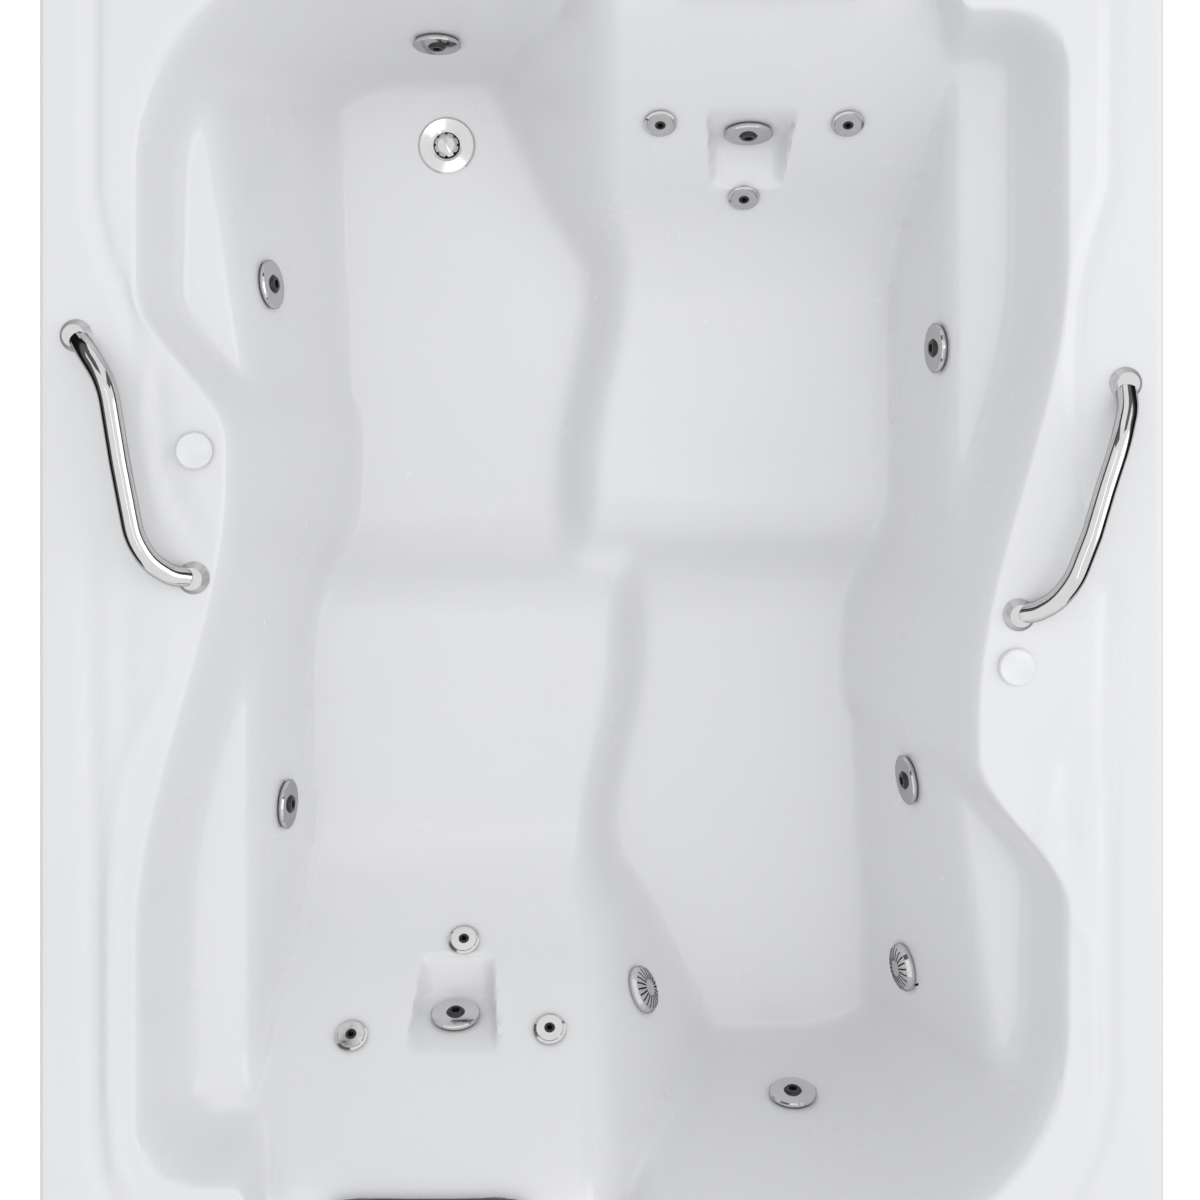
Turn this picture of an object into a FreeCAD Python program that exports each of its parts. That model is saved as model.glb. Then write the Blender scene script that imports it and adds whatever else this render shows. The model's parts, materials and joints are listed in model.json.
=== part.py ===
"""Two-person drop-in jetted bath: a moulded acrylic shell with its jets, suctions, drain, grab bars,
headrests, pipework, pump and timber base. Millimetres, +X and +Y in plan, +Z up, floor at Z = 0.
The two bathers lie side by side and opposite ways, so the basin repeats itself after half a turn about Z.
"""
import FreeCAD
import Part
import math
import os
import Sketcher

Vector = FreeCAD.Vector
doc = FreeCAD.newDocument("jetted_bath")
os.makedirs("parts", exist_ok=True)

# ---------------------------------------------------------------- driving dimensions
SIZES = {
    "tub_length": 1829, "tub_width": 1372, "rim_height": 610, "skin": 8, "lip_drop": 38,
    "well_depth": 480, "seat_depth": 400,
    "side_rim": 124, "foot_rim": 117.5, "head_rim": 30.5, "shoulder_rim": 202.5, "back_rim": 302.5,
    "pinch": 110, "wall_slope": 5.8, "foot_corner": 275, "head_corner": 70,
    "ledge_out": 104, "ledge_depth": 160, "seat_out": 150, "well_out": 190,
    "back_depth": 205, "back_slope": 1.13, "pillow_depth": 42,
    "riser_reach": 55, "riser_slope": 0.9, "divider_edge": 20, "flank_slope": 2.36,
    "jet_radius": 33.5, "jet_thick": 5.2, "ball_radius": 15, "ball_bore": 6, "ball_gap": 0.08,
    "jet_barrel": 24, "jet_length": 84, "jet_clear": 1.2, "flange_thick": 1.4, "gasket_thick": 1.1,
    "gasket_lift": 1.2, "seat_gap": 0.3, "nut_wide": 8, "nut_thick": 11,
    "small_radius": 21.75, "small_thick": 3.7, "small_ball": 9.5, "small_bore": 4, "small_barrel": 13,
    "small_length": 48, "small_nut_wide": 4.5, "small_nut_thick": 7,
    "cover_radius": 33, "cover_rise": 13, "slot_count": 20, "slot_wide": 2.2, "suction_barrel": 26,
    "suction_length": 70,
    "drain_flange": 43, "drain_mouth": 24, "stopper_radius": 18, "stopper_rise": 9, "notch_count": 8,
    "notch_radius": 2.4, "tail_radius": 19.05, "tail_wall": 1.6, "tail_end": 15,
    "knob_radius": 22.2, "knob_rise": 9, "knob_wall": 1.8, "knob_hub": 19, "switch_travel": 4,
    "control_barrel": 13, "control_length": 46,
    "bar_radius": 12.5, "foot_radius": 20, "foot_rise": 13,
    "stud_radius": 4, "stud_length": 34, "washer_radius": 14,
    "pillow_wide": 290, "pillow_deep": 129, "pillow_thick": 45, "pillow_corner": 26, "peg_radius": 6,
    "main_radius": 24, "main_wall": 3, "main_drop": 120, "main_inset": 61, "main_end": 42.5,
    "branch_radius": 12, "twig_radius": 9.5, "air_radius": 9, "air_drop": 72, "air_tube": 5, "pipe_wall": 2,
    "pump_height": 78, "volute_radius": 76, "volute_wide": 58, "motor_radius": 68, "motor_length": 230,
    "shaft_radius": 8, "impeller_radius": 52, "pump_wall": 4, "heater_radius": 32, "heater_length": 120,
    "board_thick": 18, "board_side": 246, "board_end": 24.5, "runner_wide": 60, "runner_count": 5,
    "prop_wide": 45, "bolt_radius": 4,
}
sheet = doc.addObject("Spreadsheet::Sheet", "Dims")
for row, (alias, number) in enumerate(SIZES.items(), start=1):
    sheet.set(f"A{row}", alias)
    sheet.set(f"B{row}", str(number))
    sheet.setAlias(f"B{row}", alias)
doc.recompute()


def size(alias):
    """One driving dimension as a number."""
    return float(sheet.get(alias))


class Sizes:
    """Every driving dimension by its name."""


dim = Sizes()
for alias in SIZES:
    setattr(dim, alias, size(alias))

HALF_LENGTH = dim.tub_length / 2
HALF_WIDTH = dim.tub_width / 2
BASIN_HALF = HALF_WIDTH - dim.side_rim
FOOT_REACH = HALF_LENGTH - dim.foot_rim
HEAD_REACH = HALF_LENGTH - dim.head_rim
SHOULDER_REACH = HALF_LENGTH - dim.shoulder_rim
BACK_REACH = HALF_LENGTH - dim.back_rim
PLACE_X = 362 - BASIN_HALF  # middle line of the left-hand place


# ---------------------------------------------------------------- the moulded surface of the basin
def ease(place, start, end):
    """Smooth step from 0 at start to 1 at end."""
    share = min(max((place - start) / (end - start), 0.0), 1.0)
    return share * share * (3 - 2 * share)


SEAT_ROUND, LEDGE_ROUND, RISER_ROUND = 100, 30, 40
CREASE_ROUND, FLOOR_ROUND, WALL_ROUND = 60, 50, 90


def soft_min(a, b, band):
    """The lesser of two heights, with the crease between them rounded over a band."""
    lap = max(band - abs(a - b), 0.0) / band
    return min(a, b) - lap * lap * band / 4


def soft_max(a, b, band):
    return -soft_min(-a, -b, band)


def corner(a, b, radius):
    """Distance in from two walls that meet in a rounded corner."""
    if a < radius and b < radius:
        return radius - math.hypot(radius - a, radius - b)
    return min(a, b)


WAIST_IN, WAIST_OUT = (-420, 150), (190, 380)
LEDGE_SIDE, FOOT_SIDE = (-450, -370), (-30, 70)
DIVIDER_IN, DIVIDER_OUT = (-130, -420), (-430, -520)


def half_width(y):
    """Half width of the basin at the rim: it narrows to the platforms of the grab bars."""
    return BASIN_HALF - dim.pinch * ease(y, *WAIST_IN) * (1 - ease(y, *WAIST_OUT))


def end_reach(x):
    """How far the basin reaches towards -Y: shoulder, headrest ledge, then the other foot well."""
    ledge = (HEAD_REACH - SHOULDER_REACH) * ease(x, *LEDGE_SIDE)
    foot = (HEAD_REACH - FOOT_REACH) * ease(x, *FOOT_SIDE)
    return SHOULDER_REACH + ledge - foot


def lying_depth(y):
    """Headrest ledge, sloping backrest and seat of the left-hand place."""
    back = dim.back_depth + dim.back_slope * (y + BACK_REACH)
    return soft_min(soft_max(dim.pillow_depth, back, LEDGE_ROUND), dim.seat_depth, SEAT_ROUND)


def divider_edge(y):
    """Where the left-hand place ends and its flank drops to the other foot well."""
    return dim.divider_edge - 45 * ease(y, *DIVIDER_IN) + 22 * ease(y, *DIVIDER_OUT)


def place_depth(x, y):
    """The whole block of the left-hand place: seat and backrest, front riser and flank."""
    lying = lying_depth(y)
    riser = dim.seat_depth + dim.riser_slope * (y + dim.riser_reach)
    flank = lying + dim.flank_slope * (x - divider_edge(y))
    return soft_max(soft_max(lying, riser, RISER_ROUND), flank, CREASE_ROUND)


def side_depth(reach, y):
    """Armrest and lower side wall, reach being the distance out from the centre line."""
    ledge = BASIN_HALF - dim.ledge_out - 18 * ease(y, -150, 182) + 0.145 * max(y - 182, 0)
    narrowing = (dim.well_out - dim.seat_out) * ease(y, -66, 65)
    foot = BASIN_HALF - dim.seat_out - narrowing + 0.049 * max(y - 65, 0)
    level = dim.ledge_depth - 40 * ease(y, -100, 200)
    arm = level - 0.35 * (reach - ledge)
    lower = level + (dim.well_depth - level) / (ledge - foot) * (ledge - reach)
    return soft_max(arm, lower, CREASE_ROUND)


RECESS_X, RECESS_Y, RECESS_DEPTH, RECESS_HALF = PLACE_X, 5 - BACK_REACH, 255, 49
RECESS_SLOPE, RECESS_SIDE_SLOPE = 3.87, 9
RECESS_BOTTOM = RECESS_DEPTH + dim.jet_radius + 6
RECESS_BACK = RECESS_Y + (RECESS_BOTTOM - RECESS_DEPTH) / RECESS_SLOPE
RECESS_TOP = RECESS_Y - (RECESS_DEPTH - 190) / RECESS_SLOPE
RECESS_FRONT = (RECESS_BOTTOM - dim.back_depth) / dim.back_slope - BACK_REACH


def recess_depth(x, y):
    """The scoop in a backrest that lets its large jet face the bather's back."""
    back = RECESS_DEPTH + RECESS_SLOPE * (y - RECESS_Y)
    front = RECESS_BOTTOM - RECESS_SIDE_SLOPE * (y - RECESS_FRONT)
    side = RECESS_BOTTOM - RECESS_SIDE_SLOPE * (abs(x - RECESS_X) - RECESS_HALF)
    return min(back, RECESS_BOTTOM, front, side)


def inward(x, y):
    """Distance in from the rim edge of the basin."""
    left, right = half_width(y) + x, half_width(-y) - x
    near, far = y + end_reach(x), end_reach(-x) - y
    return min(corner(left, far, dim.foot_corner), corner(right, near, dim.foot_corner),
               corner(left, near, dim.head_corner), corner(right, far, dim.head_corner))


def depth(x, y):
    """Depth of the moulded surface below the rim plane."""
    left = soft_min(place_depth(x, y), side_depth(-x, y), CREASE_ROUND)
    right = soft_min(place_depth(-x, -y), side_depth(x, -y), CREASE_ROUND)
    basin = soft_min(soft_min(left, right, CREASE_ROUND), dim.well_depth, FLOOR_ROUND)
    basin = soft_min(basin, dim.wall_slope * inward(x, y), WALL_ROUND)
    basin = max(basin, recess_depth(x, y), recess_depth(-x, -y))
    return soft_max(basin, 0, CREASE_ROUND)


def surface_point(x, y):
    return Vector(x, y, dim.rim_height - depth(x, y))


def surface_normal(x, y, reach=10):
    """Upward normal of the moulded surface."""
    slope_x = (depth(x + reach, y) - depth(x - reach, y)) / (2 * reach)
    slope_y = (depth(x, y + reach) - depth(x, y - reach)) / (2 * reach)
    return Vector(slope_x, slope_y, 1).normalize()


def spread(stops):
    """Grid lines out from the centre, mirrored: each stop is (reach, number of spans up to it)."""
    lines, start = [0.0], 0.0
    for end, count in stops:
        lines += [start + (end - start) * step / count for step in range(1, count + 1)]
        start = end
    return [-line for line in reversed(lines[1:])] + lines


def stretch(place, stops):
    """Move a grid line's distance from the centre so that set distances land on others."""
    distance = abs(place)
    for (here, there), (next_here, next_there) in zip(stops, stops[1:]):
        if distance <= next_here:
            share = (distance - here) / (next_here - here)
            return math.copysign(there + share * (next_there - there), place)
    return place


FIXED_X, WALL_LOW_X, WALL_TOP_X = BASIN_HALF - 262, BASIN_HALF - 182, BASIN_HALF
FIXED_Y = 16 - RECESS_TOP
WALL_LOW_Y, WALL_TOP_Y = FIXED_Y + 60, FIXED_Y + 160
EDGE_ROUND = 14


def grid_points(half_x, half_y, sink):
    """Points of the moulded surface, on lines that follow its walls, sunk along its normal below."""
    side = RECESS_SIDE_SLOPE
    near, far = -RECESS_X - RECESS_HALF, -RECESS_X + RECESS_HALF
    lines_x = spread([(near - side, 3), (near, 1), (far, 3), (far + side, 1), (FIXED_X, 1), (WALL_LOW_X, 3),
                      (WALL_TOP_X, 8), (WALL_TOP_X + EDGE_ROUND, 1), (WALL_TOP_X + 45, 1), (half_x, 1)])
    lines_y = spread([(60, 2), (380, 7), (-RECESS_FRONT, 5), (-RECESS_BACK, 2), (-RECESS_TOP, 1),
                      (FIXED_Y, 1), (WALL_LOW_Y, 2), (WALL_TOP_Y, 5), (WALL_TOP_Y + EDGE_ROUND, 1),
                      (half_y, 1)])
    columns = []
    for line_x in lines_x:
        column = []
        for line_y in lines_y:
            reach = end_reach(line_x) if line_y < 0 else end_reach(-line_x)
            low = max(reach - 105, FIXED_Y + 15)
            y = stretch(line_y, [(0, 0), (FIXED_Y, FIXED_Y), (WALL_LOW_Y, low), (WALL_TOP_Y, reach),
                                 (WALL_TOP_Y + EDGE_ROUND, reach + EDGE_ROUND), (half_y, half_y)])
            width = half_width(y) if line_x < 0 else half_width(-y)
            x = stretch(line_x, [(0, 0), (FIXED_X, FIXED_X), (WALL_LOW_X, min(WALL_LOW_X, width - 75)),
                                 (WALL_TOP_X, width), (WALL_TOP_X + EDGE_ROUND, width + EDGE_ROUND),
                                 (half_x, half_x)])
            column.append(surface_point(x, y) - surface_normal(x, y) * sink)
        columns.append(column)
    return columns


def edge_loop(columns, rows):
    """Places in the grid around its outer edge, anticlockwise seen from above."""
    loop = [(column, 0) for column in range(columns - 1)]
    loop += [(columns - 1, row) for row in range(rows - 1)]
    loop += [(column, rows - 1) for column in range(columns - 1, 0, -1)]
    return loop + [(0, row) for row in range(rows - 1, 0, -1)]


def skin_solid():
    """The moulded skin as a closed faceted solid: top, underside and the turned-down lip."""
    top = grid_points(HALF_WIDTH, HALF_LENGTH, 0)
    under = grid_points(HALF_WIDTH - dim.skin, HALF_LENGTH - dim.skin, dim.skin)
    columns, rows = len(top), len(top[0])
    loop = edge_loop(columns, rows)
    lip_level = dim.rim_height - dim.lip_drop
    corners = [point for column in top for point in column]
    corners += [point for column in under for point in column]
    corners += [Vector(top[i][j].x, top[i][j].y, lip_level) for i, j in loop]
    corners += [Vector(under[i][j].x, under[i][j].y, lip_level) for i, j in loop]
    layer = columns * rows
    facets = []

    def quad(a, b, c, d):
        """Two triangles that share the shorter diagonal."""
        if corners[a].distanceToPoint(corners[c]) <= corners[b].distanceToPoint(corners[d]):
            facets.extend([(a, b, c), (a, c, d)])
        else:
            facets.extend([(a, b, d), (b, c, d)])

    for i in range(columns - 1):
        for j in range(rows - 1):
            here, right, ahead = i * rows + j, (i + 1) * rows + j, i * rows + j + 1
            quad(here, right, right + 1, ahead)
            quad(layer + here, layer + ahead, layer + right + 1, layer + right)
    outer_low, inner_low = 2 * layer, 2 * layer + len(loop)
    for step, (i, j) in enumerate(loop):
        after = (step + 1) % len(loop)
        start, end = i * rows + j, loop[after][0] * rows + loop[after][1]
        quad(start, outer_low + step, outer_low + after, end)
        quad(layer + end, inner_low + after, inner_low + step, layer + start)
        quad(outer_low + step, inner_low + step, inner_low + after, outer_low + after)
    shell = Part.Shape()
    shell.makeShapeFromMesh((corners, facets), 0.01)
    return Part.makeSolid(shell)


# ---------------------------------------------------------------- ways of making a piece
nodes = {}
HALF_TURN = FreeCAD.Placement(Vector(0, 0, 0), FreeCAD.Rotation(Vector(0, 0, 1), 180))


def keep(label, piece):
    """Name a finished piece and list it for export."""
    piece.Label = label
    nodes[label] = piece
    return piece


def bind(piece, **formulas):
    """Tie properties of a piece to formulas of the driving dimensions."""
    for name, formula in formulas.items():
        piece.setExpression(name.replace("__", "."), formula)
    return piece


def turned(name, outline, placement=None):
    """A turned body: an outline of (radius, height) formulas swept round the Z axis."""
    body = doc.addObject("PartDesign::Body", name)
    sketch = body.newObject("Sketcher::SketchObject", name + "_outline")
    plane = [item for item in body.Origin.OriginFeatures if item.Role == "XZ_Plane"][0]
    sketch.AttachmentSupport = [(plane, "")]
    sketch.MapMode = "FlatFace"
    count = len(outline)
    spots = []
    for step, (radius, height) in enumerate(outline):
        angle = 2 * math.pi * step / count
        spots.append(Vector(0 if radius == "0" else 40 + 20 * math.cos(angle),
                            0 if height == "0" else 20 * math.sin(angle) + 1, 0))
    for step in range(count):
        sketch.addGeometry(Part.LineSegment(spots[step], spots[(step + 1) % count]), False)
    for step in range(count):
        sketch.addConstraint(Sketcher.Constraint("Coincident", step, 2, (step + 1) % count, 1))
    for step, (radius, height) in enumerate(outline):
        for axis, formula, axis_line in (("DistanceX", radius, -2), ("DistanceY", height, -1)):
            if formula == "0":
                sketch.addConstraint(Sketcher.Constraint("PointOnObject", step, 1, axis_line))
                continue
            start = spots[step].x if axis == "DistanceX" else spots[step].y
            index = sketch.addConstraint(Sketcher.Constraint(axis, -1, 1, step, 1, start))
            sketch.setExpression(f"Constraints[{index}]", formula)
    spin = body.newObject("PartDesign::Revolution", name + "_spin")
    spin.Profile = sketch
    spin.ReferenceAxis = (sketch, ["V_Axis"])
    spin.Angle = 360
    body.Tip = spin
    if placement:
        body.Placement = placement
    return body


def cylinder(name, radius, height, low="0", placement=None):
    """A cylinder on the Z axis from a low level, or laid by a placement."""
    piece = bind(doc.addObject("Part::Cylinder", name), Radius=radius, Height=height)
    if placement:
        piece.Placement = placement
    elif low != "0":
        piece.setExpression("Placement.Base.z", low)
    return piece


def box(name, length, width, height, x, y, z):
    """A box of formula sizes, centred on x and y, standing on z."""
    piece = bind(doc.addObject("Part::Box", name), Length=length, Width=width, Height=height)
    piece.setExpression("Placement.Base.x", f"{x} - ({length}) / 2")
    piece.setExpression("Placement.Base.y", f"{y} - ({width}) / 2")
    piece.setExpression("Placement.Base.z", z)
    return piece


def cut(name, base, tool):
    piece = doc.addObject("Part::Cut", name)
    piece.Base = base
    piece.Tool = tool
    return piece


def group(name, pieces):
    """Like pieces that share one node, each still a solid of its own."""
    piece = doc.addObject("Part::Compound", name)
    piece.Links = pieces
    return piece


def shaped(name, shape):
    piece = doc.addObject("Part::Feature", name)
    piece.Shape = shape
    return piece


def mapped(point, half_turned):
    return Vector(-point.x, -point.y, point.z) if half_turned else point


def seat_on_wall(inner, outer, level, half_turned=False):
    """Placement on the moulded surface, found between two plan points at a depth, Z out of the wall."""
    for _ in range(40):
        middle = ((inner[0] + outer[0]) / 2, (inner[1] + outer[1]) / 2)
        if depth(*middle) > level:
            inner = middle
        else:
            outer = middle
    return seat_at(middle[0], middle[1], half_turned)


def seat_at(x, y, half_turned=False):
    """Placement on the moulded surface at a plan point, Z along its outward normal."""
    placement = FreeCAD.Placement(surface_point(x, y), FreeCAD.Rotation(
        Vector(0, 0, 1), surface_normal(x, y)))
    return HALF_TURN * placement if half_turned else placement


def route(points, radius):
    """A wire of straight runs through the points, joined by tangent arcs."""
    edges, start = [], points[0]
    for before, here, after in zip(points, points[1:], points[2:]):
        back, ahead = (before - here).normalize(), (after - here).normalize()
        turn = math.pi - back.getAngle(ahead)
        reach = min(radius * math.tan(turn / 2), 0.45 * min(before.distanceToPoint(here),
                                                            after.distanceToPoint(here)))
        bend = reach / math.tan(turn / 2)
        middle = (back + ahead).normalize() * (bend / math.cos(turn / 2) - bend)
        first, last = here + back * reach, here + ahead * reach
        edges.append(Part.LineSegment(start, first).toShape())
        edges.append(Part.Arc(first, here + middle, last).toShape())
        start = last
    edges.append(Part.LineSegment(start, points[-1]).toShape())
    return Part.Wire(edges)


def pipe(points, outer, wall, bend):
    """A hollow pipe along a route."""
    spine = route(points, bend)
    direction = (points[1] - points[0]).normalize()

    def swept(radius):
        ring = Part.Wire(Part.makeCircle(radius, points[0], direction))
        return spine.makePipeShell([ring], True, True)

    return swept(outer).cut(swept(outer - wall))


def loop_pipe(half_x, half_y, level, outer, wall, bend):
    """A closed rectangular ring main: straight runs and corner bends, each a length of its own."""
    points = [Vector(0, -half_y, level), Vector(half_x, -half_y, level), Vector(half_x, half_y, level),
              Vector(-half_x, half_y, level), Vector(-half_x, -half_y, level), Vector(0, -half_y, level)]

    def swept(edge, radius):
        start = edge.FirstParameter
        ring = Part.Wire(Part.makeCircle(radius, edge.valueAt(start), edge.tangentAt(start)))
        return Part.Wire([edge]).makePipeShell([ring], True, True)

    return [swept(edge, outer).cut(swept(edge, outer - wall)) for edge in route(points, bend).Edges]


# ---------------------------------------------------------------- where the fittings sit
def foot_wall(x, level, half_turned=False):
    """A seat on the wall beyond the feet."""
    return seat_on_wall((x, FOOT_REACH - 147), (x, FOOT_REACH + 15), level, half_turned)


def side_wall(y, level, half_turned=False):
    """A seat on the wall beside a place."""
    return seat_on_wall((20 - WALL_LOW_X, y), (2 - BASIN_HALF, y), level, half_turned)


def back_wall(half_turned=False):
    """The seat in the scoop of a backrest."""
    return seat_on_wall((RECESS_X, RECESS_BACK), (RECESS_X, RECESS_TOP), RECESS_DEPTH, half_turned)


def level_at(x, y, level):
    return FreeCAD.Placement(Vector(x, y, level), FreeCAD.Rotation())


BIG_JETS = [
    foot_wall(PLACE_X - 32, 320), side_wall(FOOT_REACH - 404, 215),
    side_wall(290 - BACK_REACH, 285), back_wall(),
    foot_wall(PLACE_X - 68, 320, True), side_wall(FOOT_REACH - 512, 272, True),
    side_wall(304 - BACK_REACH, 205, True), back_wall(True),
]
SMALL_JETS = [
    seat_at(PLACE_X + 7, 92 - BACK_REACH), seat_at(PLACE_X - 135, -1 - BACK_REACH),
    seat_at(PLACE_X + 130, 5 - BACK_REACH), seat_at(PLACE_X + 122, 1 - BACK_REACH, True),
    seat_at(PLACE_X - 129, 1 - BACK_REACH, True), seat_at(PLACE_X + 2, 90 - BACK_REACH, True),
]
SUCTIONS = [seat_on_wall((140, 193 - FOOT_REACH), (10, 193 - FOOT_REACH), 350),
            side_wall(FOOT_REACH - 227, 350, True)]
DRAIN = level_at(PLACE_X - 33, FOOT_REACH - 181, dim.rim_height - dim.well_depth)
SWITCH = level_at(191 - HALF_WIDTH, 180, dim.rim_height)
AIR_CONTROL = level_at(HALF_WIDTH - 181, -83, dim.rim_height)
PILLOWS = [(PLACE_X - 13, 83 - HEAD_REACH, False), (PLACE_X - 13, 83 - HEAD_REACH, True)]
PEG_SPREAD, PEG_FOOT = 80, 6
# each grab bar: (distance in from the long edge, y, rise above the rim)
BAR_LEFT = [(46, 320, 0), (66, 301, 24), (96, 262, 44), (112, 168, 46), (129, 78, 45),
            (145, 48, 36), (167, 30, 20), (189, 25, 0)]
BAR_RIGHT = [(48, 262, 0), (52, 232, 24), (67, 192, 44), (86, 136, 46), (102, 82, 46), (122, 28, 43),
             (140, 1, 32), (160, -14, 15), (178, -20, 0)]
BARS = {
    "grab_bar_left": [Vector(inset - HALF_WIDTH, y, dim.rim_height + rise)
                      for inset, y, rise in BAR_LEFT],
    "grab_bar_right": [Vector(HALF_WIDTH - inset, y, dim.rim_height + rise)
                       for inset, y, rise in BAR_RIGHT],
}


# ---------------------------------------------------------------- shell
STUD_CLEAR = 0.5


def hole(placement, radius, reach=60):
    """A cutter through the skin, along a fitting's own axis."""
    piece = Part.makeCylinder(radius, 2 * reach, Vector(0, 0, -reach))
    piece.Placement = placement
    return piece


def bar_ends(points):
    return [level_at(points[end].x, points[end].y, dim.rim_height) for end in (0, -1)]


def peg_places(x, y, half_turned):
    spots = [mapped(Vector(x + side * PEG_SPREAD, y, 0), half_turned) for side in (-1, 1)]
    return [level_at(spot.x, spot.y, dim.rim_height - dim.pillow_depth) for spot in spots]


cutters = [hole(place, dim.jet_barrel + dim.jet_clear) for place in BIG_JETS]
cutters += [hole(place, dim.small_barrel + dim.jet_clear) for place in SMALL_JETS]
cutters += [hole(place, dim.suction_barrel + dim.jet_clear) for place in SUCTIONS]
cutters += [hole(DRAIN, dim.drain_mouth + dim.jet_clear)]
cutters += [hole(place, dim.control_barrel + dim.jet_clear) for place in (SWITCH, AIR_CONTROL)]
for bar in BARS.values():
    cutters += [hole(place, dim.stud_radius + STUD_CLEAR, dim.lip_drop) for place in bar_ends(bar)]
for pillow_place in PILLOWS:
    cutters += [hole(place, dim.peg_radius + dim.seat_gap, 30) for place in peg_places(*pillow_place)]
keep("tub_shell", shaped("tub_shell", skin_solid().cut(Part.makeCompound(cutters))))


# ---------------------------------------------------------------- large and small jets
FLANGE_LOW = "Dims.gasket_lift + Dims.gasket_thick"
FLANGE_TOP = "Dims.gasket_lift + Dims.gasket_thick + Dims.flange_thick"
FACE_LOW = FLANGE_TOP + " + Dims.seat_gap"
NUT_TOP = "-Dims.skin - 4.5"


def jet_face(name, place):
    """Polished disc that turns on the jet body and grips the ball in a round seat."""
    disc = turned(name + "_disc", [
        ("Dims.ball_bore", FACE_LOW), ("Dims.jet_radius - 1", FACE_LOW),
        ("Dims.jet_radius", FACE_LOW + " + 1"), ("Dims.jet_radius", FACE_LOW + " + Dims.jet_thick - 1.6"),
        ("Dims.jet_radius - 1.6", FACE_LOW + " + Dims.jet_thick"),
        ("Dims.ball_bore", FACE_LOW + " + Dims.jet_thick")])
    seat = bind(doc.addObject("Part::Sphere", name + "_seat"), Radius="Dims.ball_radius + Dims.ball_gap")
    seat.setExpression("Placement.Base.z", "Dims.gasket_lift")
    piece = cut(name, disc, seat)
    piece.Placement = place
    return piece


def ball(name, place, radius, bore, front_angle):
    """Nozzle ball with its two ends cut flat and a bore right through."""
    globe = bind(doc.addObject("Part::Sphere", name + "_globe"), Radius=radius)
    globe.Angle1, globe.Angle2 = -45, front_angle
    globe.setExpression("Placement.Base.z", "Dims.gasket_lift")
    drill = cylinder(name + "_bore", bore, f"4 * {radius}", f"-2 * {radius}")
    piece = cut(name, globe, drill)
    piece.Placement = place
    return piece


def jet_body(name, place, flange, barrel, bore, length, ball_radius):
    """Threaded barrel through the skin with a flange in the tub and a closed back."""
    return turned(name, [
        (bore, f"-{ball_radius} - 1"), (bore, FLANGE_TOP), (flange, FLANGE_TOP), (flange, FLANGE_LOW),
        (barrel, FLANGE_LOW), (barrel, f"-{length}"), ("0", f"-{length}"),
        ("0", f"-{ball_radius} - 1")], place)


def ring(name, place, inner, outer, low, high):
    return turned(name, [(inner, low), (outer, low), (outer, high), (inner, high)], place)


for number, place in enumerate(BIG_JETS, start=1):
    keep(f"jet_face_{number}", jet_face(f"jet_face_{number}", place))
    keep(f"jet_ball_{number}", ball(f"jet_ball_{number}", place, "Dims.ball_radius", "Dims.ball_bore", 50))

BIG_FLANGE, SMALL_FLANGE = "Dims.jet_radius - 2.5", "Dims.small_radius - 2"
keep("jet_bodies", group("jet_bodies", [
    jet_body(f"jet_body_{number}", place, BIG_FLANGE, "Dims.jet_barrel", "Dims.ball_radius + 1.5",
             "Dims.jet_length", "Dims.ball_radius") for number, place in enumerate(BIG_JETS)]))
keep("small_jet_bodies", group("small_jet_bodies", [
    jet_body(f"small_body_{number}", place, SMALL_FLANGE, "Dims.small_barrel", "Dims.small_ball + 1",
             "Dims.small_length", "Dims.small_ball") for number, place in enumerate(SMALL_JETS)]))
keep("jet_gaskets", group("jet_gaskets", [
    ring(f"gasket_{number}", place, "Dims.jet_barrel + Dims.jet_clear + 0.3", BIG_FLANGE,
         "Dims.gasket_lift", FLANGE_LOW) for number, place in enumerate(BIG_JETS)] + [
    ring(f"small_gasket_{number}", place, "Dims.small_barrel + Dims.jet_clear + 0.3", SMALL_FLANGE,
         "Dims.gasket_lift", FLANGE_LOW) for number, place in enumerate(SMALL_JETS)]))
locknuts = [ring(f"nut_{number}", place, "Dims.jet_barrel", "Dims.jet_barrel + Dims.nut_wide",
                 NUT_TOP + " - Dims.nut_thick", NUT_TOP) for number, place in enumerate(BIG_JETS)]
locknuts += [ring(f"small_nut_{number}", place, "Dims.small_barrel",
                  "Dims.small_barrel + Dims.small_nut_wide", NUT_TOP + " - Dims.small_nut_thick", NUT_TOP)
             for number, place in enumerate(SMALL_JETS)]

small_faces = []
for number, place in enumerate(SMALL_JETS, start=1):
    low, high = FLANGE_TOP, FLANGE_TOP + " + Dims.small_thick"
    disc = turned(f"small_face_{number}_disc", [
        ("Dims.small_bore", low), ("Dims.small_radius", low), ("Dims.small_radius", low + " + 1.6"),
        ("Dims.small_radius - 3.4", low + " + 2"), ("Dims.small_radius - 4", high),
        ("Dims.small_bore", high)])
    seat = bind(doc.addObject("Part::Sphere", f"small_face_{number}_seat"),
                Radius="Dims.small_ball + Dims.ball_gap")
    seat.setExpression("Placement.Base.z", "Dims.gasket_lift")
    face = cut(f"small_face_{number}", disc, seat)
    face.Placement = place
    small_faces.append(face)
    keep(f"small_jet_ball_{number}",
         ball(f"small_jet_ball_{number}", place, "Dims.small_ball", "Dims.small_bore", 48))
keep("small_jet_faces", group("small_jet_faces", small_faces))


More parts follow.
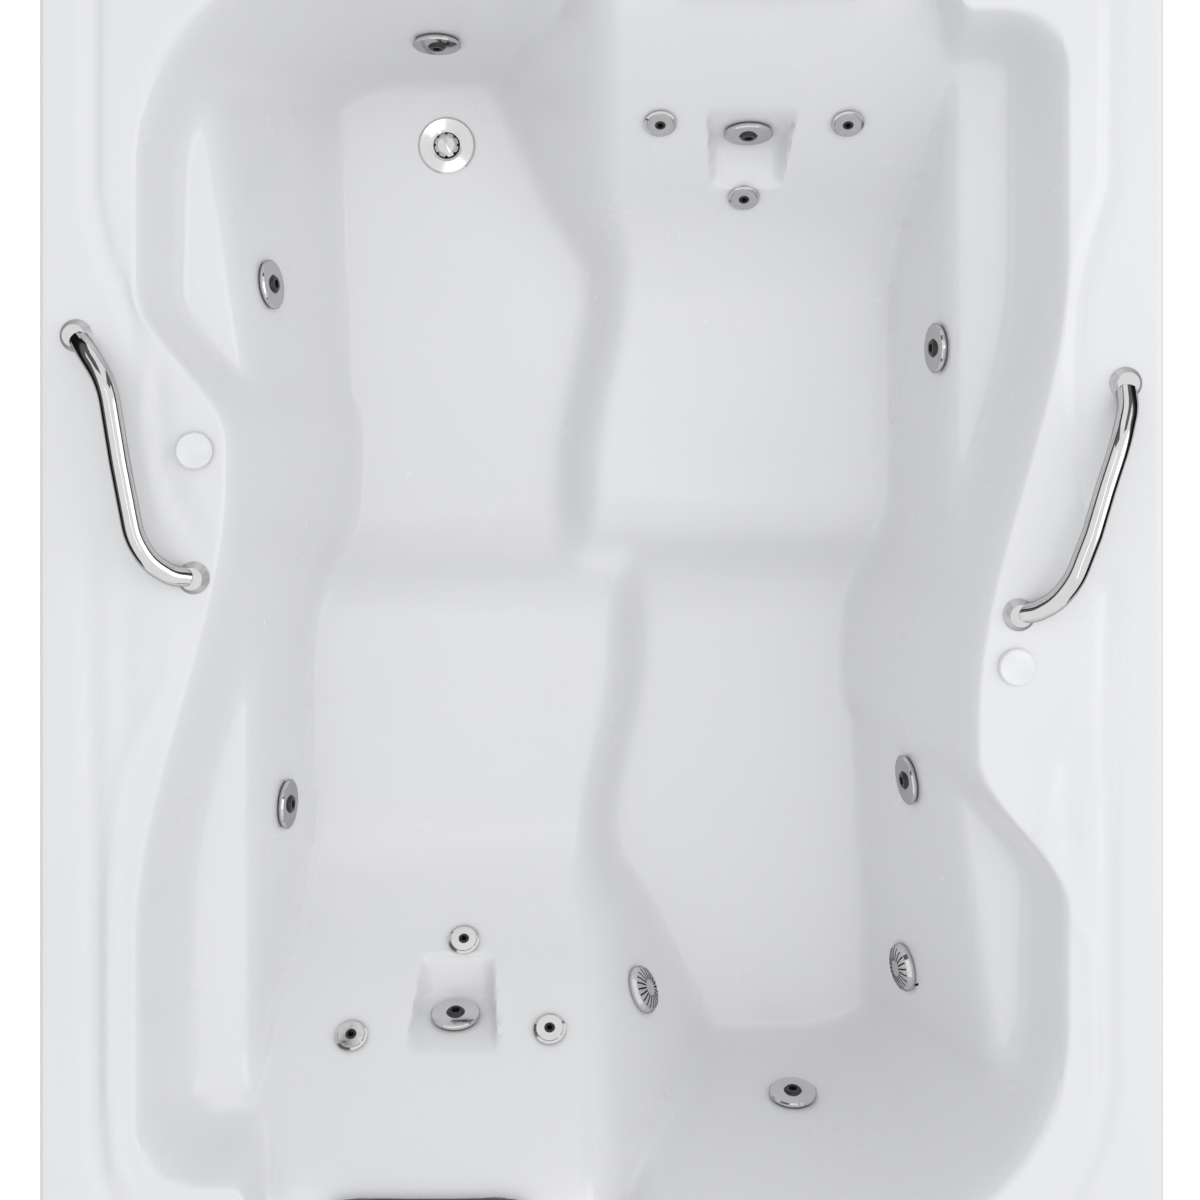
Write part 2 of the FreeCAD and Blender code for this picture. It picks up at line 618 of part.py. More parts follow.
# ---------------------------------------------------------------- suctions
def suction_cover(name, place):
    """Domed polished cover with a ring of radial slots."""
    body = turned(name, [
        ("0", FLANGE_TOP + " + 1"), ("Dims.cover_radius - 3", FLANGE_TOP + " + 1"),
        ("Dims.cover_radius - 3", FLANGE_TOP), ("Dims.cover_radius", FLANGE_TOP),
        ("Dims.cover_radius", FLANGE_TOP + " + 3"),
        ("Dims.cover_radius * 0.9", FLANGE_TOP + " + Dims.cover_rise * 0.62"),
        ("Dims.cover_radius * 0.72", FLANGE_TOP + " + Dims.cover_rise * 0.86"),
        ("Dims.cover_radius * 0.4", FLANGE_TOP + " + Dims.cover_rise"),
        ("0", FLANGE_TOP + " + Dims.cover_rise")], place)
    return body


covers = []
for number, place in enumerate(SUCTIONS, start=1):
    dome = suction_cover(f"suction_dome_{number}", None)
    hollow = turned(f"suction_hollow_{number}", [
        ("0", FLANGE_TOP + " + 0.9"), ("Dims.cover_radius - 6", FLANGE_TOP + " + 0.9"),
        ("Dims.cover_radius - 6", FLANGE_TOP + " + Dims.cover_rise * 0.5"),
        ("Dims.cover_radius * 0.4", FLANGE_TOP + " + Dims.cover_rise - 2.4"),
        ("0", FLANGE_TOP + " + Dims.cover_rise - 2.4")])
    slots = []
    for step in range(int(dim.slot_count)):
        slot = bind(doc.addObject("Part::Box", f"slot_{number}_{step}"), Length="Dims.cover_radius * 0.52",
                    Width="Dims.slot_wide", Height="Dims.cover_rise * 2")
        turn = FreeCAD.Rotation(Vector(0, 0, 1), 360 * step / dim.slot_count)
        slot.Placement = FreeCAD.Placement(turn.multVec(Vector(
            dim.cover_radius * 0.34, -dim.slot_wide / 2, dim.gasket_lift + dim.gasket_thick + 3)), turn)
        slots.append(slot)
    cover = cut(f"suction_cover_{number}", cut(f"suction_cup_{number}", dome, hollow),
                group(f"suction_slots_{number}", slots))
    cover.Placement = place
    keep(f"suction_cover_{number}", cover)
keep("suction_bodies", group("suction_bodies", [turned(f"suction_body_{number}", [
    ("Dims.suction_barrel - 3", "-Dims.suction_length + 4"), ("Dims.suction_barrel - 3", FLANGE_TOP),
    ("Dims.cover_radius - 1", FLANGE_TOP), ("Dims.cover_radius - 1", "Dims.gasket_lift"),
    ("Dims.suction_barrel", "Dims.gasket_lift"), ("Dims.suction_barrel", "-Dims.suction_length"),
    ("0", "-Dims.suction_length"), ("0", "-Dims.suction_length + 4")], place)
    for number, place in enumerate(SUCTIONS)]))
locknuts += [ring(f"suction_nut_{number}", place, "Dims.suction_barrel",
                  "Dims.suction_barrel + Dims.nut_wide", NUT_TOP + " - Dims.nut_thick", NUT_TOP)
             for number, place in enumerate(SUCTIONS)]


# ---------------------------------------------------------------- drain
keep("drain_flange", turned("drain_flange", [
    ("Dims.drain_mouth - 4", "1.5"), ("Dims.drain_mouth", "2.4"), ("Dims.drain_flange - 3", "3.2"),
    ("Dims.drain_flange", "1"), ("Dims.drain_flange", "0.3"), ("Dims.drain_mouth", "0.3"),
    ("Dims.drain_mouth", "-Dims.skin - 16"), ("Dims.drain_mouth - 4", "-Dims.skin - 16")], DRAIN))
stopper = turned("stopper_turned", [
    ("0", "3.4"), ("Dims.stopper_radius", "3.4"), ("Dims.stopper_radius", "6"),
    ("Dims.stopper_radius * 0.7", "Dims.stopper_rise + 1.4"), ("0", "Dims.stopper_rise + 3")])
stopper_stem = cylinder("stopper_stem", "4", "30", "-26.6")
stopper_fused = doc.addObject("Part::Fuse", "stopper_fused")
stopper_fused.Base, stopper_fused.Tool = stopper, stopper_stem
stopper_notches = []
for step in range(int(dim.notch_count)):
    notch = cylinder(f"stopper_notch_{step}", "Dims.notch_radius", "Dims.stopper_rise * 2")
    turn = FreeCAD.Rotation(Vector(0, 0, 1), 360 * step / dim.notch_count)
    notch.Placement = FreeCAD.Placement(turn.multVec(Vector(dim.stopper_radius, 0, 0)), turn)
    stopper_notches.append(notch)
notched = cut("drain_stopper", stopper_fused, group("stopper_notches", stopper_notches))
notched.Placement = DRAIN
keep("drain_stopper", notched)
keep("drain_strainer", turned("drain_strainer", [
    ("4.06", "-Dims.skin - 4"), ("4.06", "-Dims.skin"), ("Dims.drain_mouth - 4.3", "-Dims.skin"),
    ("Dims.drain_mouth - 4.3", "-Dims.skin - 4")], DRAIN))
locknuts += [ring("drain_nut", DRAIN, "Dims.drain_mouth", "Dims.drain_mouth + 12",
                  "-Dims.skin - 14", "-Dims.skin - 1")]
keep("drain_tailpiece", turned("drain_tailpiece", [
    ("Dims.tail_radius - Dims.tail_wall", "Dims.tail_end - Dims.rim_height + Dims.well_depth"),
    ("Dims.tail_radius", "Dims.tail_end - Dims.rim_height + Dims.well_depth"),
    ("Dims.tail_radius", "-Dims.skin - 20"), ("Dims.drain_mouth", "-Dims.skin - 20"),
    ("Dims.drain_mouth", "-Dims.skin - 16"),
    ("Dims.tail_radius - Dims.tail_wall", "-Dims.skin - 16")], DRAIN))


# ---------------------------------------------------------------- air switch and air control
def knob(name, place, gap):
    """Low round cap with a skirt, hollow below, on a stem."""
    return turned(name, [
        ("0", "Dims.knob_rise"), ("Dims.knob_radius - 1.6", "Dims.knob_rise"),
        ("Dims.knob_radius", "Dims.knob_rise - 1.6"), ("Dims.knob_radius", gap),
        ("Dims.knob_radius - Dims.knob_wall", gap),
        ("Dims.knob_radius - Dims.knob_wall", "Dims.knob_rise - 1.8"), ("5", "Dims.knob_rise - 1.8"),
        ("5", "-14"), ("0", "-14")], place)


def control_body(name, place, top):
    """Fixed hub on the deck with a threaded barrel below, bored for the stem."""
    return turned(name, [
        ("5.06", "-24"), ("5.06", top), ("Dims.knob_hub", top), ("Dims.knob_hub", "0.3"),
        ("Dims.control_barrel", "0.3"), ("Dims.control_barrel", "-Dims.control_length"),
        ("0", "-Dims.control_length"), ("0", "-24")], place)


keep("air_switch_button", knob("air_switch_button", SWITCH, "Dims.switch_travel + 0.6"))
keep("air_switch_body", control_body("air_switch_body", SWITCH, "2.6"))
keep("air_control_knob", knob("air_control_knob", AIR_CONTROL, "0.6"))
keep("air_control_body", control_body("air_control_body", AIR_CONTROL, "Dims.knob_rise - 2.1"))
locknuts += [ring(f"control_nut_{number}", place, "Dims.control_barrel", "Dims.control_barrel + 5",
                  "-Dims.skin - 9", "-Dims.skin - 0.4")
             for number, place in enumerate((SWITCH, AIR_CONTROL))]
keep("locknuts", group("locknuts", locknuts))


# ---------------------------------------------------------------- grab bars
BAR_START, BAR_BEND = 0.3, 90


def grab_bar(name, points):
    """Bent tube with a soft cone at each foot, cut level just above the deck."""
    first, last = points[0], points[-1]
    start, end = first + (points[1] - first) * BAR_START, last + (points[-2] - last) * BAR_START
    spine = route([start] + points[1:-1] + [end], BAR_BEND)
    section = Part.Wire(Part.makeCircle(dim.bar_radius, start, points[1] - start))
    tube = spine.makePipeShell([section], True, True)
    under = 3 * dim.foot_radius
    for foot in (first, last):
        base = foot + Vector(0, 0, dim.seat_gap)
        tube = tube.fuse(Part.makeCone(dim.foot_radius, dim.bar_radius + 1, dim.foot_rise, base))
        tube = tube.cut(Part.makeBox(2 * under, 2 * under, under, base - Vector(under, under, under)))
    return keep(name, shaped(name, tube))


studs = []
for bar_name, bar in BARS.items():
    grab_bar(bar_name, bar)
    for place in bar_ends(bar):
        studs.append(turned(f"stud_{len(studs)}", [
            ("0", "0.3"), ("Dims.stud_radius", "0.3"), ("Dims.stud_radius", "-Dims.skin - 0.4"),
            ("Dims.washer_radius", "-Dims.skin - 0.4"), ("Dims.washer_radius", "-Dims.skin - 3"),
            ("Dims.stud_radius * 1.9", "-Dims.skin - 3"), ("Dims.stud_radius * 1.9", "-Dims.skin - 10"),
            ("Dims.stud_radius", "-Dims.skin - 10"), ("Dims.stud_radius", "-Dims.stud_length"),
            ("0", "-Dims.stud_length")], place))
keep("grab_bar_studs", group("grab_bar_studs", studs))


# ---------------------------------------------------------------- headrests
def rounded_rectangle(half_x, half_y, radius, level):
    """A closed wire of four lines and four quarter arcs."""
    edges = []
    for x_side, y_side, turn in ((1, 1, 0), (-1, 1, 90), (-1, -1, 180), (1, -1, 270)):
        centre = Vector(x_side * (half_x - radius), y_side * (half_y - radius), level)
        edges.append(Part.makeCircle(radius, centre, Vector(0, 0, 1), turn, turn + 90))
    closed = []
    for here, after in zip(edges, edges[1:] + edges[:1]):
        closed += [here, Part.makeLine(here.valueAt(here.LastParameter),
                                       after.valueAt(after.FirstParameter))]
    return Part.Wire(closed)


PILLOW_SHAPE = [(0, 9), (0.16, 1.5), (0.42, 0), (0.72, 2.5), (0.92, 11), (1, 26)]


def pillow(name, x, y, half_turned):
    """Moulded foam pillow: drawn in below, full at the middle and crowned above."""
    wires = []
    for share, inset in PILLOW_SHAPE:
        wires.append(rounded_rectangle(dim.pillow_wide / 2 - inset, dim.pillow_deep / 2 - inset,
                                       dim.pillow_corner, share * dim.pillow_thick))
    shape = Part.makeLoft(wires, True, False)
    for side in (-1, 1):
        shape = shape.cut(Part.makeCylinder(dim.peg_radius + 0.05, dim.pillow_thick / 2,
                                            Vector(side * PEG_SPREAD, 0, -1)))
    piece = shaped(name, shape)
    spot = mapped(Vector(x, y, 0), half_turned)
    piece.Placement = FreeCAD.Placement(
        Vector(spot.x, spot.y, dim.rim_height - depth(x, y) + dim.seat_gap), FreeCAD.Rotation())
    return keep(name, piece)


for side, place in zip(("left", "right"), PILLOWS):
    pillow(f"headrest_{side}", *place)
keep("headrest_pegs", group("headrest_pegs", [
    cylinder(f"peg_{number}", "Dims.peg_radius", f"Dims.pillow_thick / 2 - 4 + Dims.skin + {PEG_FOOT}",
             "0", level_at(peg.Base.x, peg.Base.y, peg.Base.z - dim.skin - PEG_FOOT))
    for number, peg in enumerate(peg_places(*PILLOWS[0]) + peg_places(*PILLOWS[1]))]))


# ---------------------------------------------------------------- pump
BOARD_TOP = dim.rim_height - dim.well_depth - dim.skin - dim.seat_gap
PUMP_X, PUMP_Y = -81, 124.5 - HALF_LENGTH
PUMP = FreeCAD.Placement(Vector(PUMP_X, PUMP_Y, BOARD_TOP + dim.pump_height),
                         FreeCAD.Rotation(Vector(0, 0, 1), Vector(-1, 0, 0)))
SHAFT_BORE = "Dims.shaft_radius + 0.08"
MOTOR_LOW, MOTOR_HIGH = "Dims.volute_wide + 0.3", "Dims.volute_wide + 0.3 + Dims.motor_length"
keep("pump_volute", turned("pump_volute", [
    ("Dims.main_radius - Dims.main_wall", "-14"), ("Dims.main_radius", "-14"), ("Dims.main_radius", "0"),
    ("Dims.volute_radius", "0"), ("Dims.volute_radius", "Dims.volute_wide"),
    (SHAFT_BORE, "Dims.volute_wide"), (SHAFT_BORE, "Dims.volute_wide - 6"),
    ("Dims.volute_radius - Dims.pump_wall", "Dims.volute_wide - 6"),
    ("Dims.volute_radius - Dims.pump_wall", "6"), ("Dims.main_radius - Dims.main_wall", "6")], PUMP))
keep("pump_motor_housing", turned("pump_motor_housing", [
    (SHAFT_BORE, MOTOR_LOW), ("Dims.motor_radius", MOTOR_LOW), ("Dims.motor_radius", MOTOR_HIGH),
    (SHAFT_BORE, MOTOR_HIGH), (SHAFT_BORE, MOTOR_HIGH + " - 12"),
    ("Dims.motor_radius - Dims.pump_wall", MOTOR_HIGH + " - 12"),
    ("Dims.motor_radius - Dims.pump_wall", MOTOR_LOW + " + 12"), (SHAFT_BORE, MOTOR_LOW + " + 12")], PUMP))
keep("pump_stator", ring("pump_stator", PUMP, "Dims.impeller_radius + 1",
                         "Dims.motor_radius - Dims.pump_wall - 0.1",
                         MOTOR_LOW + " + 35", MOTOR_HIGH + " - 35"))
keep("pump_rotor", turned("pump_rotor", [
    ("0", "12"), ("Dims.impeller_radius", "14"), ("Dims.impeller_radius", "40"), ("Dims.shaft_radius", "44"),
    ("Dims.shaft_radius", MOTOR_LOW + " + 40"), ("Dims.impeller_radius", MOTOR_LOW + " + 40"),
    ("Dims.impeller_radius", MOTOR_HIGH + " - 40"), ("Dims.shaft_radius", MOTOR_HIGH + " - 40"),
    ("Dims.shaft_radius", MOTOR_HIGH + " - 3"), ("0", MOTOR_HIGH + " - 3")], PUMP))

MOTOR_MIDDLE = PUMP_X - dim.volute_wide - dim.motor_length / 2
BOLT_X, BOLT_Y, BOLT_REACH = 82, 58, 14
PLATE = 10
plate = box("cradle_plate", "190", "140", f"{PLATE}", MOTOR_MIDDLE, PUMP_Y, "0")
saddle = box("cradle_saddle", "120", "110", "Dims.pump_height - 40", MOTOR_MIDDLE, PUMP_Y, f"{PLATE} - 0.1")
cradle_block = doc.addObject("Part::Fuse", "cradle_block")
cradle_block.Base, cradle_block.Tool = plate, saddle
saddle_round = cylinder("saddle_round", "Dims.motor_radius + 0.3", "400", "0", FreeCAD.Placement(
    Vector(MOTOR_MIDDLE + 200, PUMP_Y, dim.pump_height),
    FreeCAD.Rotation(Vector(0, 0, 1), Vector(-1, 0, 0))))
bolt_spots = [(MOTOR_MIDDLE + a * BOLT_X, PUMP_Y + b * BOLT_Y) for a in (-1, 1) for b in (-1, 1)]
bolt_holes = group("bolt_holes", [
    cylinder(f"bolt_hole_{number}", "Dims.bolt_radius + 0.4", f"4 * {PLATE}", "0",
             level_at(x, y, -2 * PLATE))
    for number, (x, y) in enumerate(bolt_spots)])
cradle = cut("pump_cradle", cut("cradle_cut", cradle_block, saddle_round), bolt_holes)
cradle.Placement = level_at(0, 0, BOARD_TOP)
keep("pump_cradle", cradle)
keep("pump_bolts", group("pump_bolts", [turned(f"bolt_{number}", [
    ("0", f"{PLATE} + 5"), ("Dims.bolt_radius * 1.8", f"{PLATE} + 5"),
    ("Dims.bolt_radius * 1.8", f"{PLATE}"), ("Dims.bolt_radius", f"{PLATE}"),
    ("Dims.bolt_radius", f"-{BOLT_REACH}"), ("0", f"-{BOLT_REACH}")],
    level_at(x, y, BOARD_TOP))
    for number, (x, y) in enumerate(bolt_spots)]))
keep("terminal_box", box("terminal_box", "60", "90", "36",
                         PUMP_X - dim.volute_wide - dim.motor_length + 34, PUMP_Y,
                         f"{BOARD_TOP} + Dims.pump_height + Dims.motor_radius + 0.3"))


# ---------------------------------------------------------------- pipework
MAIN_X, MAIN_Y = HALF_WIDTH - dim.main_inset, HALF_LENGTH - dim.main_end
MAIN_Z, AIR_Z = dim.rim_height - dim.main_drop, dim.rim_height - dim.air_drop
LAP, AIR_WALL = 4, 1.5


def line_out(place, length):
    """Back end of a fitting, the way it points, and whether it looks at an end of the bath."""
    back = place.multVec(Vector(0, 0, -length))
    way = place.Rotation.multVec(Vector(0, 0, -1))
    return back, way, abs(way.y) > abs(way.x)


def on_line(back, way, to_end, inset):
    """Where the fitting's axis reaches the upright plane of the main, less an inset."""
    reach = (MAIN_Y if to_end else MAIN_X) - inset
    here, slope = (back.y, way.y) if to_end else (back.x, way.x)
    return back + way * ((math.copysign(reach, slope) - here) / slope)


def jet_branch(place):
    """Straight out of the jet, then up into the main."""
    back, way, to_end = line_out(place, dim.jet_length)
    turn = on_line(back, way, to_end, 0)
    return pipe([back, turn, Vector(turn.x, turn.y, MAIN_Z - dim.main_radius + LAP)],
                dim.branch_radius, dim.pipe_wall, 22)


def small_branch(place, shift):
    """Out of the small jet, back under the backrest and up into the main."""
    back, way, _ = line_out(place, dim.small_length)
    turn = back + way * 30
    side = math.copysign(1, way.y)
    far = Vector(turn.x + shift, side * MAIN_Y, turn.z + 70)
    return pipe([back, turn, far, Vector(far.x, far.y, MAIN_Z - dim.main_radius + LAP)],
                dim.twig_radius, dim.pipe_wall, 24)


def air_tube(place):
    """Thin tube from a jet to the air main: off its back where there is room, else off its top."""
    back, way, to_end = line_out(place, dim.jet_length)
    aside = Vector(1, 0, 0) if to_end else Vector(0, 1, 0)
    outer = on_line(back, way, to_end, 0)
    if (outer - back).Length > 60:
        start = back + aside * (dim.branch_radius + dim.air_tube + 0.5)
        low = on_line(start, way, to_end, 35)
        points = [start, low]
    else:
        start = place.multVec(Vector(0, 0, 14 - dim.jet_length)) + Vector(0, 0, dim.jet_barrel - 2)
        low = start
        points = [start]
    outward = Vector(0, math.copysign(1, way.y), 0) if to_end else Vector(math.copysign(1, way.x), 0, 0)
    ring_spot = Vector(low.x, outer.y, AIR_Z) if to_end else Vector(outer.x, low.y, AIR_Z)
    points += [Vector(low.x, low.y, AIR_Z - 8), ring_spot - outward * (dim.air_radius - AIR_WALL)]
    return pipe(points, dim.air_tube, 1.2, 12)


MAIN_BEND = 80
keep("water_main", shaped("water_main", Part.makeCompound(
    loop_pipe(MAIN_X, MAIN_Y, MAIN_Z, dim.main_radius, dim.main_wall, MAIN_BEND))))
SHIFTS = (-72, 0, 30, -30, 0, 72)
keep("jet_branches", shaped("jet_branches", Part.makeCompound(
    [jet_branch(place) for place in BIG_JETS]
    + [small_branch(place, shift) for place, shift in zip(SMALL_JETS, SHIFTS)])))

outlet = Vector(PUMP_X - dim.volute_wide / 2, PUMP_Y, BOARD_TOP + dim.pump_height + dim.volute_radius)
keep("discharge_pipe", shaped("discharge_pipe", pipe(
    [outlet - Vector(0, 0, LAP / 2), Vector(outlet.x, outlet.y, MAIN_Z),
     Vector(outlet.x, -MAIN_Y + dim.main_radius - LAP, MAIN_Z)], dim.main_radius - 2, dim.main_wall, 28)))
keep("inline_heater", ring("inline_heater", level_at(outlet.x, outlet.y, outlet.z + 20),
                           "Dims.main_radius - 2", "Dims.heater_radius", "0", "Dims.heater_length"))

air_ring = loop_pipe(MAIN_X, MAIN_Y, AIR_Z, dim.air_radius, AIR_WALL, MAIN_BEND)
control_end = AIR_CONTROL.Base - Vector(0, 0, dim.control_length)
air_link = pipe([control_end, Vector(control_end.x, control_end.y, AIR_Z - 4),
                 Vector(MAIN_X - dim.air_radius + AIR_WALL, control_end.y, AIR_Z)],
                dim.air_radius - 2, AIR_WALL, 12)
keep("air_lines", shaped("air_lines", Part.makeCompound(
    air_ring + [air_link] + [air_tube(place) for place in BIG_JETS])))

PUMP_Z, LINE_Y, TEE_END = PUMP.Base.z, PUMP_Y - 60, 60
tee = pipe([Vector(TEE_END, PUMP_Y, PUMP_Z), Vector(PUMP_X + 14, PUMP_Y, PUMP_Z)],
           dim.main_radius, dim.main_wall, 30)
first_back, first_way, _ = line_out(SUCTIONS[0], dim.suction_length)
second_back, second_way, _ = line_out(SUCTIONS[1], dim.suction_length)
SUCTION_RADIUS = dim.main_radius - 4
first_line = pipe([first_back, first_back + first_way * 64,
                   Vector(-20, PUMP_Y + dim.main_radius - LAP, PUMP_Z)], SUCTION_RADIUS, dim.main_wall, 40)
second_line = pipe([second_back, second_back + second_way * 95,
                    Vector(HALF_WIDTH - 111, LINE_Y, PUMP_Z + 10), Vector(TEE_END + 90, LINE_Y, PUMP_Z),
                    Vector(TEE_END + 30, PUMP_Y, PUMP_Z), Vector(TEE_END, PUMP_Y, PUMP_Z)],
                   SUCTION_RADIUS, dim.main_wall, 60)
keep("suction_lines", shaped("suction_lines", Part.makeCompound([tee, first_line, second_line])))


# ---------------------------------------------------------------- timber base
DRAIN_WINDOW = 52
BOARD_WIDE, BOARD_LONG = "Dims.tub_width - 2 * Dims.board_side", "Dims.tub_length - 2 * Dims.board_end"
BOARD_LOW = f"{BOARD_TOP} - Dims.board_thick"
board = box("board_sheet", BOARD_WIDE, BOARD_LONG, "Dims.board_thick", "0", "0", BOARD_LOW)
window = cylinder("board_window", f"{DRAIN_WINDOW}", f"2 * {BOARD_TOP}", "0",
                  level_at(DRAIN.Base.x, DRAIN.Base.y, 0))
board_bolts = group("board_bolts", [
    cylinder(f"board_bolt_{number}", "Dims.bolt_radius + 0.05", "20", "0",
             level_at(x, y, BOARD_TOP - BOLT_REACH - 2))
    for number, (x, y) in enumerate(bolt_spots)])
keep("base_board", cut("base_board", cut("board_windowed", board, window), board_bolts))
FIRST_RUNNER = (dim.runner_wide - dim.tub_length) / 2 + dim.board_end
timbers = [box(f"runner_{step}", BOARD_WIDE, "Dims.runner_wide", BOARD_LOW,
               "0", FIRST_RUNNER * (1 - 2 * step / (dim.runner_count - 1)), "0")
           for step in range(int(dim.runner_count))]
PROP_X, PROP_LONG, PROP_PLACES = 15 - PLACE_X, 300, (150, 340)
for side, name in ((-1, "left"), (1, "right")):
    for reach in PROP_PLACES:
        timbers.append(box(f"prop_{name}_{reach}", f"{PROP_LONG}", "Dims.prop_wide",
                           "Dims.well_depth - Dims.seat_depth", side * PROP_X, side * reach, f"{BOARD_TOP}"))
keep("base_timbers", group("base_timbers", timbers))


# ---------------------------------------------------------------- check and write
doc.recompute()
for item in doc.Objects:
    if "Invalid" in item.State or "Error" in item.State:
        raise RuntimeError(f"{item.Label} did not rebuild: {item.State}")
for label, piece in nodes.items():
    shape = piece.Shape
    if shape.isNull() or not shape.isValid():
        raise RuntimeError(f"{label} has no valid shape")
for label, piece in nodes.items():
    piece.Shape.exportStep(f"parts/{label}.step")
print(len(nodes), "pieces written")
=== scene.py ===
# %% [markdown]
# # A two-place jetted bath, seen from above
# The bath is a moulded acrylic shell set on a timber base, with two reclining places that lie
# side by side and point opposite ways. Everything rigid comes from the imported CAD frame. Blender
# adds what CAD does less well: the soft moulded surface, the headrests and every finish.
# The camera looks straight down, as in the photograph, so the look of the shell decides the picture.

import json
import math

import bmesh
import bpy
import numpy as np
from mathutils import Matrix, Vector


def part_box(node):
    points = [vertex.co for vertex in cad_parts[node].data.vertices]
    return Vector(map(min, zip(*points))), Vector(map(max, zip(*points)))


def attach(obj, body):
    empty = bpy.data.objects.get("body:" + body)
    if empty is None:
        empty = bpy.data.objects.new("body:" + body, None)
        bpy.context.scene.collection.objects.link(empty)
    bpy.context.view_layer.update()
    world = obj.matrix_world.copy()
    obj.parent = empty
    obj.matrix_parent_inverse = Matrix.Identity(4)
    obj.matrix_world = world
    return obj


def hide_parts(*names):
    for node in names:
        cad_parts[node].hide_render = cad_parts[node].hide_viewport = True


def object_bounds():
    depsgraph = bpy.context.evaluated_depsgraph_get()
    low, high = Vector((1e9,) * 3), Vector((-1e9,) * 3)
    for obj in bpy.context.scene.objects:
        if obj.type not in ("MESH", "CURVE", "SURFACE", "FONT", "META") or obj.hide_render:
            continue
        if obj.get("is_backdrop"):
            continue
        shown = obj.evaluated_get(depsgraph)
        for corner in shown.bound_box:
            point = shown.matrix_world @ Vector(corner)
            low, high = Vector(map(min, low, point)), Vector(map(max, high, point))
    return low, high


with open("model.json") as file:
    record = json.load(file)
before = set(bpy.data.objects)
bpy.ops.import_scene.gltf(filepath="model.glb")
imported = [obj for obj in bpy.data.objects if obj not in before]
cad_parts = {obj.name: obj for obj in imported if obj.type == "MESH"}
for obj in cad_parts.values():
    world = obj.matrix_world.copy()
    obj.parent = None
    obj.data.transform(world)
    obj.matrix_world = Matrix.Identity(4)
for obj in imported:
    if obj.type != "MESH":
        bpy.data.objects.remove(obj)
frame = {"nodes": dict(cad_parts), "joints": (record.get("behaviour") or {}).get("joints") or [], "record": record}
nodes, record = frame["nodes"], frame["record"]
cad_low, cad_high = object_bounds()
scene = bpy.context.scene
scene.view_settings.view_transform = "Standard"
print("frame:", len(nodes), "nodes, box", [round(b - a, 4) for a, b in zip(cad_low, cad_high)])

# %% [markdown]
# ## Camera
# The photograph was taken from straight above, and the point right under the lens lies towards the
# far end of the bath. A tilted camera would make the long rims run together, which they do not do
# here, so the camera looks straight down from that point and its lens is shifted towards the middle.

# %% Camera
RIM = 0.610
CAMERA_PLACE = (0.0027, 0.272, RIM + 2.070)
camera_data = bpy.data.cameras.new("overhead")
camera_data.lens, camera_data.sensor_width = 51, 36
camera_data.shift_x, camera_data.shift_y = -0.0033, -0.1875
camera_data.clip_end = 50
camera = bpy.data.objects.new("overhead", camera_data)
camera.location = CAMERA_PLACE
scene.collection.objects.link(camera)
scene.camera = camera
print("camera", CAMERA_PLACE, "lens", camera_data.lens)

# %% [markdown]
# ## Small helpers for finishes
# Every finish here is a Principled shader with procedural nodes. A helper makes the shader and sets
# what is the same all over the surface straight on its sockets. Others add what changes from place
# to place: a mottled colour, an uneven gloss and a fine relief. All of them read object coordinates
# in metres, so one scale means the same size on every piece.

# %% Finish helpers
finishes = {}


def finish(name, **values):
    """A new Principled finish; each value is set on the shader's own socket."""
    material = bpy.data.materials.new(name)
    material.use_nodes = True
    shader = material.node_tree.nodes["Principled BSDF"]
    for socket, value in values.items():
        socket = socket.replace("_", " ")
        if socket == "Base Color":
            value = (*value, 1)
        shader.inputs[socket].default_value = value
    finishes[name] = material
    return material


def add(material, kind, **values):
    """A node in a finish, with its properties or its unlinked inputs set."""
    node = material.node_tree.nodes.new("ShaderNode" + kind)
    for name, value in values.items():
        label = name.replace("_", " ")
        if label in node.inputs:
            node.inputs[label].default_value = value
        else:
            setattr(node, name, value)
    return node


def join(material, out, into):
    material.node_tree.links.new(out, into)


def shader_of(material):
    return material.node_tree.nodes["Principled BSDF"]


def place_of(material, stretch=(1, 1, 1)):
    """Object coordinates, stretched along the axes for grain that runs one way."""
    coordinates = add(material, "TexCoord")
    mapping = add(material, "Mapping")
    mapping.inputs["Scale"].default_value = stretch
    join(material, coordinates.outputs["Object"], mapping.inputs["Vector"])
    return mapping.outputs["Vector"]


def noise(material, scale, detail=2.0, stretch=(1, 1, 1)):
    """Soft noise with about `scale` lumps in a metre."""
    texture = add(material, "TexNoise", Scale=scale, Detail=detail)
    join(material, place_of(material, stretch), texture.inputs["Vector"])
    return texture.outputs["Fac"]


def ramp(material, value, stops):
    """A colour for each level of a value; stops are (level, colour)."""
    node = add(material, "ValToRGB")
    for index, (level, colour) in enumerate(stops):
        stop = node.color_ramp.elements[index] if index < 2 else node.color_ramp.elements.new(level)
        stop.position, stop.color = level, (*colour, 1)
    join(material, value, node.inputs["Fac"])
    return node.outputs["Color"]


def colour_from(material, value, stops):
    join(material, ramp(material, value, stops), shader_of(material).inputs["Base Color"])


def gloss_from(material, value, low, high):
    """Roughness that wanders between two values."""
    node = add(material, "MapRange")
    node.inputs["From Min"].default_value, node.inputs["From Max"].default_value = 0.3, 0.7
    node.inputs["To Min"].default_value, node.inputs["To Max"].default_value = low, high
    join(material, value, node.inputs["Value"])
    join(material, node.outputs["Result"], shader_of(material).inputs["Roughness"])


def relief_from(material, value, distance, strength=1.0):
    """Fine relief, `distance` metres deep; a second one is laid over the first."""
    bump = add(material, "Bump", Distance=distance, Strength=strength)
    normal = shader_of(material).inputs["Normal"]
    if normal.is_linked:
        join(material, normal.links[0].from_socket, bump.inputs["Normal"])
    join(material, value, bump.inputs["Height"])
    join(material, bump.outputs["Normal"], normal)


